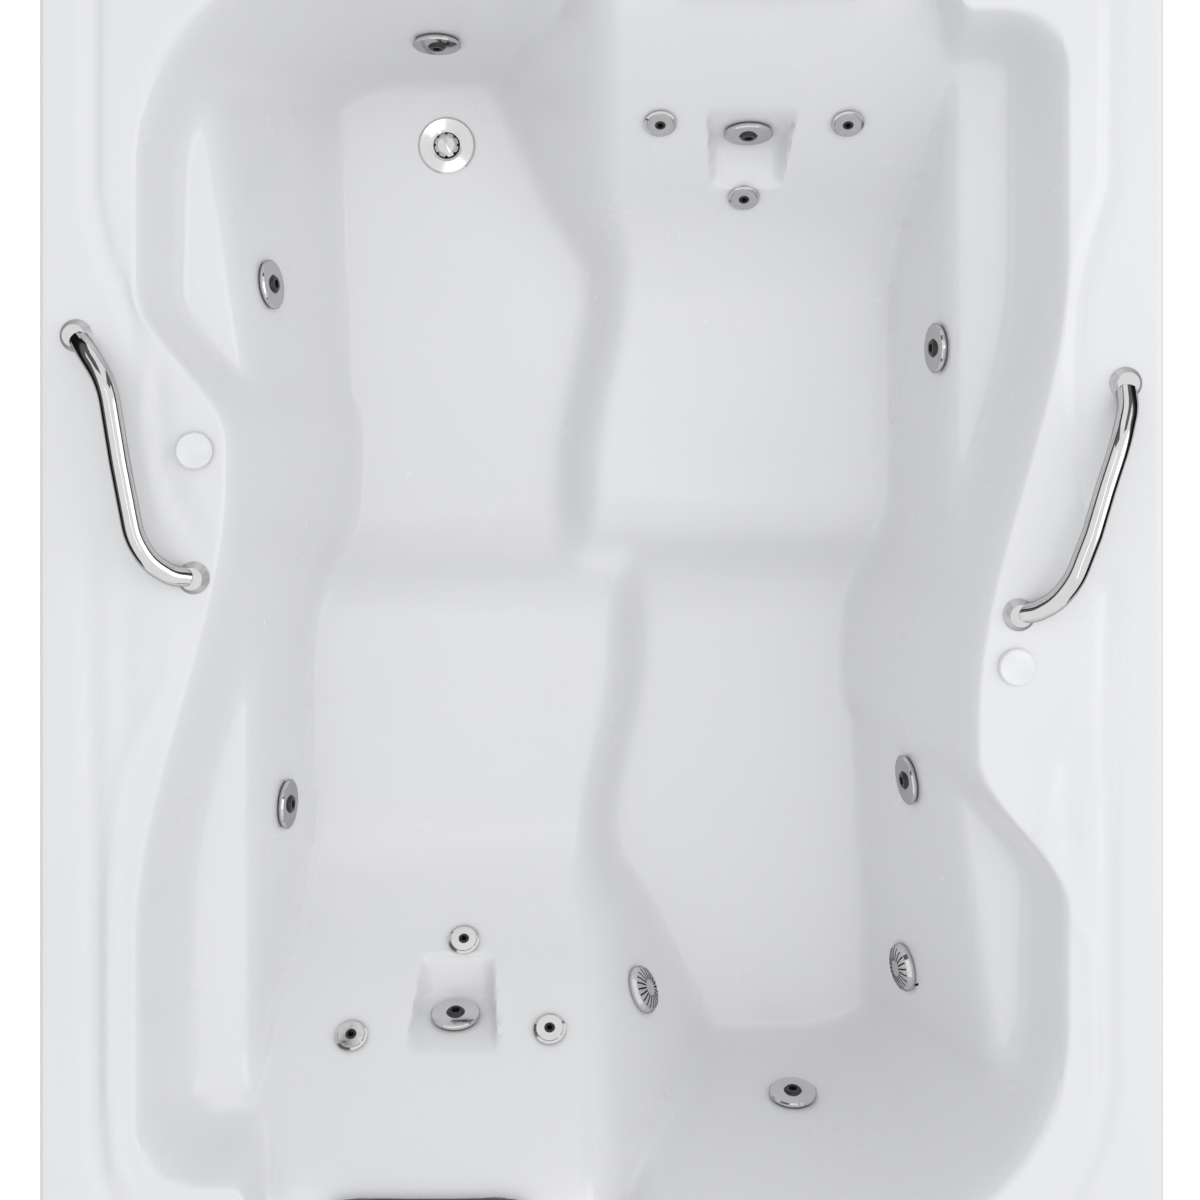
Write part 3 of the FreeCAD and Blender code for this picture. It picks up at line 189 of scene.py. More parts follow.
def tinted(colour, *shares):
    """Shades of one colour for a ramp, spread over the middle of the noise."""
    levels = [0.3 + 0.4 * step / (len(shares) - 1) for step in range(len(shares))]
    return [(level, tuple(min(part * share, 1) for part in colour)) for level, share in zip(levels, shares)]


print("helpers ready")

# %% [markdown]
# ## Acrylic and glass fibre
# The shell is a sheet of white acrylic, drawn into a mould and then backed with chopped glass fibre
# in resin. The acrylic has a deep gloss with the faintest ripple, called orange peel, so its
# relief is a tenth of a millimetre. The backing is matt, straw-coloured and full of short strands.
# Strands could be modelled as curves, but thousands of them would show no better than
# two noises stretched across each other, which is what is used here.

# %% Acrylic and glass fibre
WHITE = (0.80, 0.80, 0.805)
acrylic = finish("white_acrylic", Base_Color=WHITE, Specular_IOR_Level=0.5, Coat_Weight=0.2,
                 Coat_Roughness=0.12)
colour_from(acrylic, noise(acrylic, 2.2), tinted(WHITE, 0.985, 1.0, 1.01))
gloss_from(acrylic, noise(acrylic, 9, 3), 0.2, 0.28)
relief_from(acrylic, noise(acrylic, 260), 0.00006, 0.5)

STRAW = (0.56, 0.52, 0.41)
glass_fibre = finish("glass_fibre_backing", Base_Color=STRAW, Specular_IOR_Level=0.4)
along = noise(glass_fibre, 60, 4, (1, 7, 1))
across = noise(glass_fibre, 60, 4, (7, 1, 3))
strands = add(glass_fibre, "Math", operation="MAXIMUM")
join(glass_fibre, along, strands.inputs[0])
join(glass_fibre, across, strands.inputs[1])
colour_from(glass_fibre, strands.outputs[0], tinted(STRAW, 0.72, 1.0, 1.3))
gloss_from(glass_fibre, noise(glass_fibre, 14, 3), 0.38, 0.62)
relief_from(glass_fibre, strands.outputs[0], 0.0011)
relief_from(glass_fibre, noise(glass_fibre, 12, 2), 0.004, 0.6)
print("finishes:", sorted(finishes))

# %% [markdown]
# ## Metals
# Jets, suction covers, waste and grab bars are chrome plated. Chrome is nearly a mirror, and what
# makes it read as a real fitting is a little haze and the finest wiping marks. Plating reflects less
# where it is seen edge on, which the shader's tint for metals says. Bolts and the
# heater are plain steel with a drawn grain. The motor has satin dark paint over cast ribs,
# and its windings show copper between iron.

# %% Metals
CHROME = (0.68, 0.68, 0.685)
EDGE_TINT = (0.42, 0.42, 0.43, 1)
chrome = finish("polished_chrome", Base_Color=CHROME, Metallic=1.0, Specular_Tint=EDGE_TINT)
colour_from(chrome, noise(chrome, 30, 3), tinted(CHROME, 0.96, 1.0, 1.03))
gloss_from(chrome, noise(chrome, 120, 6, (1, 3, 1)), 0.035, 0.1)
relief_from(chrome, noise(chrome, 900, 2), 0.000008, 0.4)

STEEL = (0.50, 0.50, 0.51)
steel = finish("drawn_steel", Base_Color=STEEL, Metallic=1.0, Anisotropic=0.4)
colour_from(steel, noise(steel, 40, 4, (0.2, 6, 6)), tinted(STEEL, 0.8, 1.0, 1.1))
gloss_from(steel, noise(steel, 90, 4, (0.2, 8, 8)), 0.22, 0.4)
relief_from(steel, noise(steel, 300, 3, (0.1, 8, 8)), 0.00004)

MOTOR_GREY = (0.055, 0.06, 0.07)
motor_paint = finish("satin_motor_paint", Base_Color=MOTOR_GREY)
colour_from(motor_paint, noise(motor_paint, 35, 4), tinted(MOTOR_GREY, 0.8, 1.0, 1.25))
gloss_from(motor_paint, noise(motor_paint, 60, 3), 0.32, 0.5)
relief_from(motor_paint, noise(motor_paint, 700, 2), 0.00012)

COPPER = (0.42, 0.17, 0.07)
windings = finish("copper_and_iron", Base_Color=COPPER, Metallic=0.8)
colour_from(windings, noise(windings, 420, 2, (1, 0.2, 0.2)), tinted(COPPER, 0.35, 1.0, 1.2))
gloss_from(windings, noise(windings, 80, 2), 0.3, 0.5)
relief_from(windings, noise(windings, 420, 2, (1, 0.2, 0.2)), 0.0004)
print("finishes:", len(finishes))

# %% [markdown]
# ## Plastics, rubber and hose
# The jet balls and the pump body are black moulded plastic, the barrels behind the shell are grey, the
# pipes are white and smooth, and the two knobs have the same white gloss as the shell.
# Moulded plastic differs from a flat colour by its spark-eroded grain and by patches of
# higher gloss, so each one gets both, at its own scale. The air hose is clear and slightly hazy.

# %% Plastics, rubber and hose
def moulded(name, colour, low, high, grain=900, depth=0.00003, **values):
    """Moulded plastic: faint patches of colour, wandering gloss and a fine grain."""
    material = finish(name, Base_Color=colour, **values)
    colour_from(material, noise(material, 25, 3), tinted(colour, 0.93, 1.0, 1.06))
    gloss_from(material, noise(material, 45, 3), low, high)
    relief_from(material, noise(material, grain), depth)
    return material


moulded("black_plastic", (0.018, 0.018, 0.02), 0.3, 0.46)
moulded("grey_plastic", (0.42, 0.43, 0.45), 0.34, 0.5)
moulded("white_plastic", (0.82, 0.82, 0.82), 0.12, 0.2, 500, 0.00001, Coat_Weight=0.3)
moulded("gasket_rubber", (0.022, 0.022, 0.022), 0.6, 0.8, 1200, 0.00006)
moulded("pipe_white", (0.74, 0.74, 0.71), 0.22, 0.36, 300, 0.00003)
moulded("hose_clear", (0.66, 0.70, 0.72), 0.16, 0.3, 200, 0.00004, Transmission_Weight=0.45, IOR=1.42)
print("finishes:", len(finishes))

# %% [markdown]
# ## Timber
# The base is a plywood board on sawn softwood runners and props. On real wood the growth rings
# are cut by the surface, so the grain is a distorted wave stretched along the
# board, with pores on top. The plies show on the board's edge as thin bands that follow height.

# %% Timber
PINE = (0.60, 0.42, 0.24)
timber = finish("sawn_timber", Base_Color=PINE, Specular_IOR_Level=0.3)
rings = add(timber, "TexWave", Scale=5, Distortion=11, Detail=4)
rings.inputs["Detail Scale"].default_value = 1.4
rings.bands_direction = "Y"
join(timber, place_of(timber, (0.12, 1, 1)), rings.inputs["Vector"])
colour_from(timber, rings.outputs["Fac"], tinted(PINE, 0.88, 1.0, 1.05))
gloss_from(timber, noise(timber, 40, 3, (0.2, 1, 1)), 0.55, 0.75)
relief_from(timber, noise(timber, 240, 4, (0.06, 1, 1)), 0.0004)
print("finishes:", len(finishes))

# %% [markdown]
# ## The finishes on the CAD pieces
# The record says which material slot each CAD node has, so one table from slot to finish dresses
# them all. The nodes' round faces are shaded smooth and their edges stay crisp.

# %% Dress the CAD pieces
FINISH_OF = {
    "acrylic": "white_acrylic", "chrome": "polished_chrome", "black_plastic": "black_plastic",
    "grey_plastic": "grey_plastic", "white_plastic": "white_plastic", "gasket_rubber": "gasket_rubber",
    "pillow_foam": "black_plastic", "steel": "drawn_steel", "motor_paint": "satin_motor_paint",
    "copper_iron": "copper_and_iron", "pipe_white": "pipe_white", "hose_clear": "hose_clear",
    "timber": "sawn_timber",
}
SHARP = math.radians(32)


def dress(piece, material):
    piece.data.materials.clear()
    piece.data.materials.append(material)


def shade(mesh):
    mesh.shade_smooth()
    mesh.set_sharp_from_angle(angle=SHARP)


for subpart in record["subparts"]:
    dress(nodes[subpart["node"]], finishes[FINISH_OF[subpart["material_slot"]]])
    shade(nodes[subpart["node"]].data)
print("dressed", len(record["subparts"]), "nodes")

# %% [markdown]
# The suction covers are chrome outside, and their slots open into the barrel behind. The shade inside those
# openings is painted: the faces that run along a cover's axis, inside its rim, get the black plastic, and so does
# the bore behind it, so both are painted shade.
# The axis is the direction in which the cover is thinnest, which a singular value decomposition
# of its points gives.

# %% Painted shade in the suction slots
BORE, BARREL = 0.0275, 0.12
ALONG, INSIDE = 0.35, 0.92
barrels = nodes["suction_bodies"].data
barrels.materials.append(finishes["black_plastic"])
for name in ("suction_cover_1", "suction_cover_2"):
    cover = nodes[name].data
    cover.materials.append(finishes["black_plastic"])
    points = np.array([v.co for v in cover.vertices])
    middle = (points.min(0) + points.max(0)) / 2
    axis = np.linalg.svd(points - points.mean(0), full_matrices=False)[2][2]
    reach = np.linalg.norm(np.cross(points - middle, axis), axis=1).max()
    for face in cover.polygons:
        away = np.linalg.norm(np.cross(np.array(face.center) - middle, axis))
        # painted shade: the chrome cover's own slot walls take the black plastic
        if abs(np.dot(face.normal, axis)) < ALONG and away < INSIDE * reach:
            face.material_index = 1
    # painted shade: the grey barrel's bore behind each cover takes the black plastic
    for face in barrels.polygons:
        offset = np.array(face.center) - middle
        if np.linalg.norm(offset) < BARREL and np.linalg.norm(np.cross(offset, axis)) < BORE:
            face.material_index = 1
    print(name, sum(face.material_index for face in cover.polygons), "slot faces of", len(cover.polygons))

# %% [markdown]
# ## The moulded surface as a formula
# A bath shell has no flat faces and no straight edges, so it could be sculpted, or
# lofted through sections. Here it is a height field: for each point of the plan, one formula gives
# the depth below the rim. Each form is a simple slope, and soft versions of the
# smaller-of-two and larger-of-two join them with the rounded creases that a drawn sheet has.
# The formula is the one the CAD solid uses, in millimetres, so both agree everywhere.

# %% Soft joins
def ease(place, start, end):
    """0 before start, 1 after end, and smooth between."""
    share = np.clip((place - start) / (end - start), 0, 1)
    return share * share * (3 - 2 * share)


def soft_min(a, b, band):
    """The smaller of two depths, rounded where they differ by less than the band."""
    lap = np.maximum(band - abs(a - b), 0) / band
    return np.minimum(a, b) - lap * lap * band / 4


def soft_max(a, b, band):
    return -soft_min(-a, -b, band)


def corner(a, b, radius):
    """Distance inside two edges that meet in a rounded corner."""
    rounded = radius - np.hypot(radius - a, radius - b)
    return np.where((a < radius) & (b < radius), rounded, np.minimum(a, b))


# %% [markdown]
# The plan of the basin: its sides draw in beside each bather's knees, and each place reaches further
# at the head, where the headrest hangs, than at the feet.

# %% Plan of the basin
def half_width(y):
    return 562 - 110 * ease(y, -420, 150) * (1 - ease(y, 190, 380))


def end_reach(x):
    return 712 + 172 * ease(x, -450, -370) - 87 * ease(x, -30, 70)


def inward(x, y):
    """Distance in from the rim edge of the basin, in millimetres."""
    left, right = half_width(y) + x, half_width(-y) - x
    near, far = y + end_reach(x), end_reach(-x) - y
    feet = np.minimum(corner(left, far, 275), corner(right, near, 275))
    heads = np.minimum(corner(left, near, 70), corner(right, far, 70))
    return np.minimum(feet, heads)


# %% [markdown]
# One place: a sloping back, a seat, a riser down to the foot well, and a
# divider that leans over towards the neighbour. The armrest is a ledge on the side wall.

# %% Seat, back and armrest
WELL, SEAT = 480, 400


def place_depth(x, y):
    """Depth over the seat and back of the left-hand place."""
    back = soft_max(42, 205 + 1.13 * (y + 612), 30)
    lying = soft_min(back, SEAT, 100)
    riser = SEAT + 0.9 * (y + 55)
    edge = 20 - 45 * ease(y, -130, -420) + 22 * ease(y, -430, -520)
    return soft_max(soft_max(lying, riser, 40), lying + 2.36 * (x - edge), 60)


def side_depth(reach, y):
    """Depth over the armrest and the lower side wall, reach being the distance from the middle."""
    ledge = 458 - 18 * ease(y, -150, 182) + 0.145 * np.maximum(y - 182, 0)
    foot = 412 - 40 * ease(y, -66, 65) + 0.049 * np.maximum(y - 65, 0)
    level = 160 - 40 * ease(y, -100, 200)
    arm = level - 0.35 * (reach - ledge)
    return soft_max(arm, level + (WELL - level) / (ledge - foot) * (ledge - reach), 60)


def recess_depth(x, y):
    """The scoop in a back that holds a large jet."""
    back = 255 + 3.87 * (y + 607)
    front = 294.5 - 9 * (y + 532.8)
    side = 294.5 - 9 * (abs(x + 200) - 49)
    return soft_min(soft_min(back, 294.5, 22), soft_min(front, side, 60), 50)


# %% [markdown]
# The two places are the same form turned half round, so each is called once as it is and once with
# both coordinates turned over.

# %% The whole basin
def basin_depth(x, y):
    left = soft_min(place_depth(x, y), side_depth(-x, y), 60)
    right = soft_min(place_depth(-x, -y), side_depth(x, -y), 60)
    basin = soft_min(soft_min(left, right, 60), WELL, 50)
    basin = soft_min(basin, 5.8 * inward(x, y), 90)
    for recess in (recess_depth(x, y), recess_depth(-x, -y)):
        basin = soft_max(basin, recess, 14)
    return soft_max(basin, 0, 60)


middle = basin_depth(np.array([0.0, -233.0, -200.0]), np.array([0.0, 616.0, -250.0]))
print("depth in the middle, at the waste and on the seat:", middle.round(1))

# %% [markdown]
# ## Channels and ridges of the deck
# The flat deck around the basin carries moulded lines: a channel that catches splashes and follows
# the rim, and low ridges around the armrests and grab bars. They could be
# displaced by a painted map, but a few strokes are easier to follow: each is a line of plan points
# with a depth, and its section is a soft bell that many strokes can share.

# %% Strokes on the deck
# (x, y, depth) in millimetres; a negative depth stands proud, and a stroke fades where it is 0
CHANNELS = [
    [(-180, 866, 0), (-300, 866, 6), (-470, 862, 6), (-560, 846, 6), (-604, 806, 6), (-620, 740, 6),
     (-621, 498, 6), (-616, 468, 6), (-603, 416, 6), (-584, 375, 6), (-571, 327, 4), (-562, 285, 0)],
    [(-600, 135, 0), (-612, 95, 5), (-622, 50, 6), (-621, -20, 6), (-620, -640, 6), (-611, -708, 6),
     (-582, -760, 6), (-530, -790, 4), (-450, -800, 0)],
    [(450, 826, 0), (530, 820, 5), (590, 800, 6), (616, 760, 6), (622, 720, 6), (620, 505, 6), (599, 437, 6),
     (581, 364, 6), (579, 286, 6), (581, 233, 4), (588, 175, 0)],
    [(608, 40, 0), (621, -2, 6), (619, -51, 6), (619, -599, 6), (607, -660, 6), (582, -715, 6),
     (556, -770, 6), (505, -815, 6), (430, -845, 6), (300, -860, 6), (180, -862, 0)],
]
NARROW = [
    [(-539, 285, 0), (-539, 259, 5), (-537, 197, 5), (-519, 133, 5), (-490, 75, 4), (-477, 50, 0)],
    [(547, 217, 0), (568, 165, -3), (584, 113, -3), (590, 80, 0)],
    [(-556, 310, 0), (-558, 250, -3), (-558, 181, -3), (-545, 108, -3), (-505, 62, 0)],
    [(-548, 25, 0), (-524, -44, -4), (-532, -105, -4), (-568, -178, -4), (-588, -230, -4), (-597, -367, -4),
     (-598, -600, -4), (-588, -696, -3), (-560, -730, 0)],
    [(595, -95, 0), (564, -160, -4), (542, -221, -4), (533, -294, -4), (545, -360, -4), (592, -420, -3),
     (600, -560, -3), (592, -650, 0)],
    [(560, -110, 0), (515, -178, 3), (485, -215, 0)],
]
HOLLOWS = [[(-578, 30, 0), (-580, -20, 5), (-580, -130, 5), (-584, -185, 0)],
           [(572, -150, 0), (573, -200, 5), (572, -300, 5), (575, -350, 0)]]


def stroke_relief(x, y, points, width):
    """Depth that one stroke adds at each plan point."""
    best, relief = np.full(x.shape, 1e9), np.zeros(x.shape)
    for (x0, y0, d0), (x1, y1, d1) in zip(points, points[1:]):
        run_x, run_y = x1 - x0, y1 - y0
        share = np.clip(((x - x0) * run_x + (y - y0) * run_y) / (run_x**2 + run_y**2), 0, 1)
        away = np.hypot(x - x0 - share * run_x, y - y0 - share * run_y)
        level = (d0 + share * (d1 - d0)) * np.exp(-((away / width) ** 2))
        relief = np.where(away < best, level, relief)
        best = np.minimum(away, best)
    return relief


def deck_relief(x, y):
    total = np.zeros(x.shape)
    for strokes, width in ((CHANNELS, 11), (NARROW, 7), (HOLLOWS, 13)):
        for points in strokes:
            total += stroke_relief(x, y, points, width)
    return total * ease(-inward(x, y), 2, 22) * (1 - ease(abs(x), 655, 672)) * (1 - ease(abs(y), 885, 900))


def depth(x, y):
    return basin_depth(x, y) + deck_relief(x, y)


print(sum(map(len, (CHANNELS, NARROW, HOLLOWS))), "strokes")

# %% [markdown]
# ## A grid that follows the walls
# An even grid makes steep walls ragged, because a whole wall falls between two of its lines. So the
# lines are counted out from the middle with more of them where the form turns, and near the walls
# each line is moved until it runs along the wall instead of across it.

# %% Grid lines
HALF_WIDE, HALF_LONG, EDGE, CORNER = 686.0, 914.5, 7.0, 30.0


def spread(stops):
    """Grid lines out from the middle, mirrored; each stop is (reach, spans up to it)."""
    lines, start = [0.0], 0.0
    for end, count in stops:
        lines += [start + (end - start) * step / count for step in range(1, count + 1)]
        start = end
    return np.array([-line for line in reversed(lines[1:])] + lines)


def stretched(lines, stops):
    """Move lines so that set distances from the middle land on others."""
    return np.sign(lines) * np.interp(abs(lines), [a for a, _ in stops], [b for _, b in stops])


lines_x = spread([(140, 18), (152, 4), (248, 12), (260, 4), (300, 6), (380, 22), (562, 20), (576, 5),
                  (607, 5), (HALF_WIDE - EDGE, 12)])
lines_y = spread([(60, 8), (380, 40), (520, 18), (545, 8), (590, 9), (628, 10), (640, 2), (700, 8),
                  (800, 20), (814, 5), (HALF_LONG - EDGE, 14)])
plan_x, plan_y = np.zeros((len(lines_x), len(lines_y))), np.zeros((len(lines_x), len(lines_y)))
for column, line in enumerate(lines_x):
    for row, start in enumerate(lines_y):
        reach = float(end_reach(line if start < 0 else -line))
        low = max(reach - 105, 655)
        plan_y[column, row] = stretched(start, [(0, 0), (640, 640), (700, low), (800, reach),
                                                (814, reach + 14), (HALF_LONG - EDGE, HALF_LONG - EDGE)])
        width = float(half_width(plan_y[column, row] if line < 0 else -plan_y[column, row]))
        plan_x[column, row] = stretched(line, [(0, 0), (300, 300), (380, min(380, width - 75)), (562, width),
                                               (576, width + 14), (HALF_WIDE - EDGE, HALF_WIDE - EDGE)])
print("grid", plan_x.shape, "points", plan_x.size)

# %% [markdown]
# The rim's outer corners are rounded in plan. Points near a corner are pulled from a square onto
# quarter circles, which keeps the grid whole and its faces four-sided.

# %% Rounded outer corners
centre_x = np.sign(plan_x) * (HALF_WIDE - CORNER)
centre_y = np.sign(plan_y) * (HALF_LONG - CORNER)
out_x, out_y = plan_x - centre_x, plan_y - centre_y
in_corner = (abs(plan_x) > HALF_WIDE - CORNER) & (abs(plan_y) > HALF_LONG - CORNER)
length = np.maximum(np.hypot(out_x, out_y), 1e-9)
pull = np.maximum(abs(out_x), abs(out_y)) / length
plan_x = np.where(in_corner, centre_x + out_x * pull, plan_x)
plan_y = np.where(in_corner, centre_y + out_y * pull, plan_y)
print("points in the corners:", int(in_corner.sum()))

# %% [markdown]
# ## Top, underside and turned-down lip
# The sheet is 8 mm thick with its backing. The top comes from the formula. The underside is the
# same grid moved down its normals, taken over 20 mm so that it runs smoothly past tight
# creases. Round the outside the rim turns down in a small curve to a lip that would sit on the
# deck opening.

# %% Top and underside
SKIN, LIP, STEP = 8.0, 38.0, 10
top = np.stack([plan_x, plan_y, RIM * 1000 - depth(plan_x, plan_y)], axis=-1)


def slopes(x, y):
    """How fast the moulded surface falls along x and y, taken over twice the step."""
    return ((basin_depth(x + STEP, y) - basin_depth(x - STEP, y)) / (2 * STEP),
            (basin_depth(x, y + STEP) - basin_depth(x, y - STEP)) / (2 * STEP))


slope_x, slope_y = slopes(plan_x, plan_y)
normal = np.stack([slope_x, slope_y, np.ones_like(slope_x)], axis=-1)
normal /= np.linalg.norm(normal, axis=-1, keepdims=True)
under = top - normal * SKIN

columns, rows = plan_x.shape
loop = [(i, 0) for i in range(columns - 1)] + [(columns - 1, j) for j in range(rows - 1)]
loop += [(i, rows - 1) for i in range(columns - 1, 0, -1)] + [(0, j) for j in range(rows - 1, 0, -1)]
outward = []
for i, j in loop:
    x, y = plan_x[i, j], plan_y[i, j]
    way = Vector((max(abs(x) - HALF_WIDE + CORNER, 0) * np.sign(x),
                  max(abs(y) - HALF_LONG + CORNER, 0) * np.sign(y)))
    outward.append(way.normalized())
points = [tuple(p) for p in top.reshape(-1, 3)]
partner = [tuple(p) for p in under.reshape(-1, 3)]
faces = []
for i in range(columns - 1):
    for j in range(rows - 1):
        here = i * rows + j
        faces.append((here, here + rows, here + rows + 1, here + 1))
edge = [i * rows + j for i, j in loop]
LIP_STEPS = [(30, 0), (60, 0), (90, 0), (90, LIP / 2), (90, LIP - EDGE)]
for turn, drop in LIP_STEPS:
    angle = math.radians(turn)
    low, inner = [], []
    for (i, j), way in zip(loop, outward):
        base = Vector(top[i, j])
        low.append(len(points))
        out, down = EDGE * math.sin(angle), EDGE * (1 - math.cos(angle)) + drop
        points.append((base.x + way.x * out, base.y + way.y * out, base.z - down))
        out -= SKIN * math.sin(angle)
        inside = SKIN * math.cos(angle)
        partner.append((base.x + way.x * out, base.y + way.y * out, base.z - down - inside))
    for step in range(len(loop)):
        after = (step + 1) % len(loop)
        faces.append((edge[step], low[step], low[after], edge[after]))
    edge = low
print("sheet:", len(points), "points", len(faces), "faces")

# %% [markdown]
# ## Holes for the fittings
# Each jet, suction and waste passes through the shell. Cutting the holes with Booleans takes a long
# time on so fine a sheet. It is enough to leave out the faces under each fitting's flange and to
# move the ring of points that is left onto a circle, because the flange hides the edge.

# %% Holes under the flanges
def middle_of(node):
    low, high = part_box(node)
    return (low + high) * 500


def normal_at(place):
    """Upward normal of the moulded surface under a place."""
    fall_x, fall_y = slopes(np.array([place.x]), np.array([place.y]))
    return Vector((float(fall_x[0]), float(fall_y[0]), 1)).normalized()


# (radius of the faces left out, radius of the hole) in millimetres
JET, SMALL_JET, SUCTION, WASTE, KNOB = (31, 27), (19, 15), (31, 27.5), (36, 28), (19, 14.5)
UPWARD, FLANGE_REACH = Vector((0, 0, 1)), 40
fittings = []
for joint in frame["joints"]:
    if joint["name"].endswith("_turn") and joint["name"].startswith("jet_"):
        fittings.append((Vector(joint["pos_m"]) * 1000, Vector(joint["axis"]), *JET))
    if joint["name"].startswith("small_jet_"):
        place = Vector(joint["pos_m"]) * 1000
        fittings.append((place, normal_at(place), *SMALL_JET))
for number in (1, 2):
    place = middle_of(f"suction_cover_{number}")
    fittings.append((place, normal_at(place), *SUCTION))
fittings.append((middle_of("drain_flange"), UPWARD, *WASTE))
for knob in ("air_switch_button", "air_control_knob"):
    place = middle_of(knob)
    fittings.append((Vector((place.x, place.y, RIM * 1000)), UPWARD, *KNOB))

spots, backs, quads = np.array(points), np.array(partner), np.array(faces)
kept = np.ones(len(quads), bool)
for place, axis, cut, edge_radius in fittings:
    away = spots - np.array(place)
    height = away @ np.array(axis)
    flat = away - np.outer(height, np.array(axis))
    radius = np.linalg.norm(flat, axis=1)
    near = (radius < cut) & (abs(height) < FLANGE_REACH)
    gone = near[quads].all(axis=1)
    ring = np.intersect1d(np.unique(quads[gone]), np.unique(quads[kept & ~gone]))
    share = (edge_radius / np.maximum(radius[ring], 1e-6) - 1)[:, None]
    spots[ring] += flat[ring] * share
    backs[ring] += flat[ring] * share
    kept &= ~gone
quads = quads[kept]
print("holes:", len(fittings), "faces left out:", int((~kept).sum()))

# %% [markdown]
# ## Close the sheet into a solid
# Top and underside have matching points, so each free edge of the top is joined to the same edge
# of the underside. The result is one closed solid, with acrylic above and glass fibre below.

# %% The shell as one closed mesh
SHELL_SHARP = 60
count = len(spots)
owners = {}
for quad in quads.tolist():
    for a, b in zip(quad, quad[1:] + quad[:1]):
        owners[(a, b)] = owners.get((a, b), 0) + 1
free = [(a, b) for a, b in owners if (b, a) not in owners]
all_faces = quads.tolist() + [[i + count for i in reversed(quad)] for quad in quads.tolist()]
all_faces += [[b, a, a + count, b + count] for a, b in free]
mesh = bpy.data.meshes.new("bath_shell")
mesh.from_pydata(np.vstack([spots, backs]) / 1000, [], all_faces)
build = bmesh.new()
build.from_mesh(mesh)
bmesh.ops.delete(build, geom=[v for v in build.verts if not v.link_faces], context="VERTS")
bmesh.ops.recalc_face_normals(build, faces=build.faces)
build.to_mesh(mesh)
open_edges = sum(1 for e in build.edges if len(e.link_faces) != 2)
build.free()
shell = bpy.data.objects.new("bath_shell", mesh)
scene.collection.objects.link(shell)
mesh.materials.append(acrylic)
mesh.materials.append(glass_fibre)
which = np.zeros(len(mesh.polygons), np.int32)
which[len(quads):] = 1
mesh.polygons.foreach_set("material_index", which)
mesh.shade_smooth()
mesh.set_sharp_from_angle(angle=math.radians(SHELL_SHARP))
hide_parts("tub_shell")
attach(shell, "bath")
print("shell faces", len(mesh.polygons), "open edges", open_edges)

# %% [markdown]
# ## Headrests
# Each headrest is a soft block of foam with a grained charcoal skin, pushed onto two pegs. Its real
# form comes from foam pressing against a skin, so the block is a crowned, rounded slab, turned
# into an even mesh and then puffed up by a short cloth simulation with pressure and no gravity.
# The movement is capped, so that it stays within the space its solid holds.

# %% Headrest skin
CHARCOAL = (0.045, 0.045, 0.052)
skin = finish("charcoal_foam_skin", Base_Color=CHARCOAL, Sheen_Weight=0.15, Sheen_Roughness=0.4)
colour_from(skin, noise(skin, 30, 3), tinted(CHARCOAL, 0.8, 1.0, 1.2))
gloss_from(skin, noise(skin, 80, 3), 0.48, 0.66)
pebbles = add(skin, "TexVoronoi", Scale=700, feature="SMOOTH_F1")
join(skin, place_of(skin), pebbles.inputs["Vector"])
relief_from(skin, pebbles.outputs["Distance"], 0.0003)
relief_from(skin, noise(skin, 60, 3), 0.0006, 0.5)
print("headrest skin:", skin.name)

# %% [markdown]
# The block is cut from a fine grid over its plan. Its outline is a rounded rectangle, its top
# rises in a crown with a shallow hollow for the neck, and the underside is flat where it rests.

# %% A headrest before it is puffed
def headrest_block(name, low, high):
    """A crowned slab a little smaller than the box it has to fill."""
    centre, half = (low + high) / 2, (high - low) / 2
    build = bmesh.new()
    bmesh.ops.create_grid(build, x_segments=30, y_segments=16, size=1)
    slab = bmesh.ops.extrude_face_region(build, geom=build.faces[:])
    raised = {v for v in slab["geom"] if isinstance(v, bmesh.types.BMVert)}
    for vert in build.verts:
        u, v = vert.co.x, vert.co.y
        outside = max(abs(u), abs(v))
        if outside > 0:
            power = (abs(u) ** 5 + abs(v) ** 5) ** 0.2
            u, v = u * outside / power, v * outside / power
        crown = (1 - abs(u) ** 3) ** 0.5 * (1 - abs(v) ** 3) ** 0.5 if max(abs(u), abs(v)) < 1 else 0
        dip = 0.1 * math.exp(-((u / 0.42) ** 2)) * math.cos(v * math.pi / 2)
        up = -0.94 + (1.62 * max(crown, 0) + 0.16 - dip if vert in raised else 0)
        inset = 0.93 if vert in raised else 0.9
        vert.co = centre + Vector((u * half.x * inset, v * half.y * inset, up * half.z))
    bmesh.ops.recalc_face_normals(build, faces=build.faces)
    block = bpy.data.meshes.new(name)
    build.to_mesh(block)
    build.free()
    piece = bpy.data.objects.new(name, block)
    scene.collection.objects.link(piece)
    return piece


# %% Puff it up
VOXEL, CAP, PRESSURE, FRAMES = 0.005, 0.006, 4, 20


def applied(piece):
    """Bake a piece's modifiers into its mesh."""
    view = bpy.context.evaluated_depsgraph_get()
    made = bpy.data.meshes.new_from_object(piece.evaluated_get(view))
    piece.modifiers.clear()
    piece.data = made


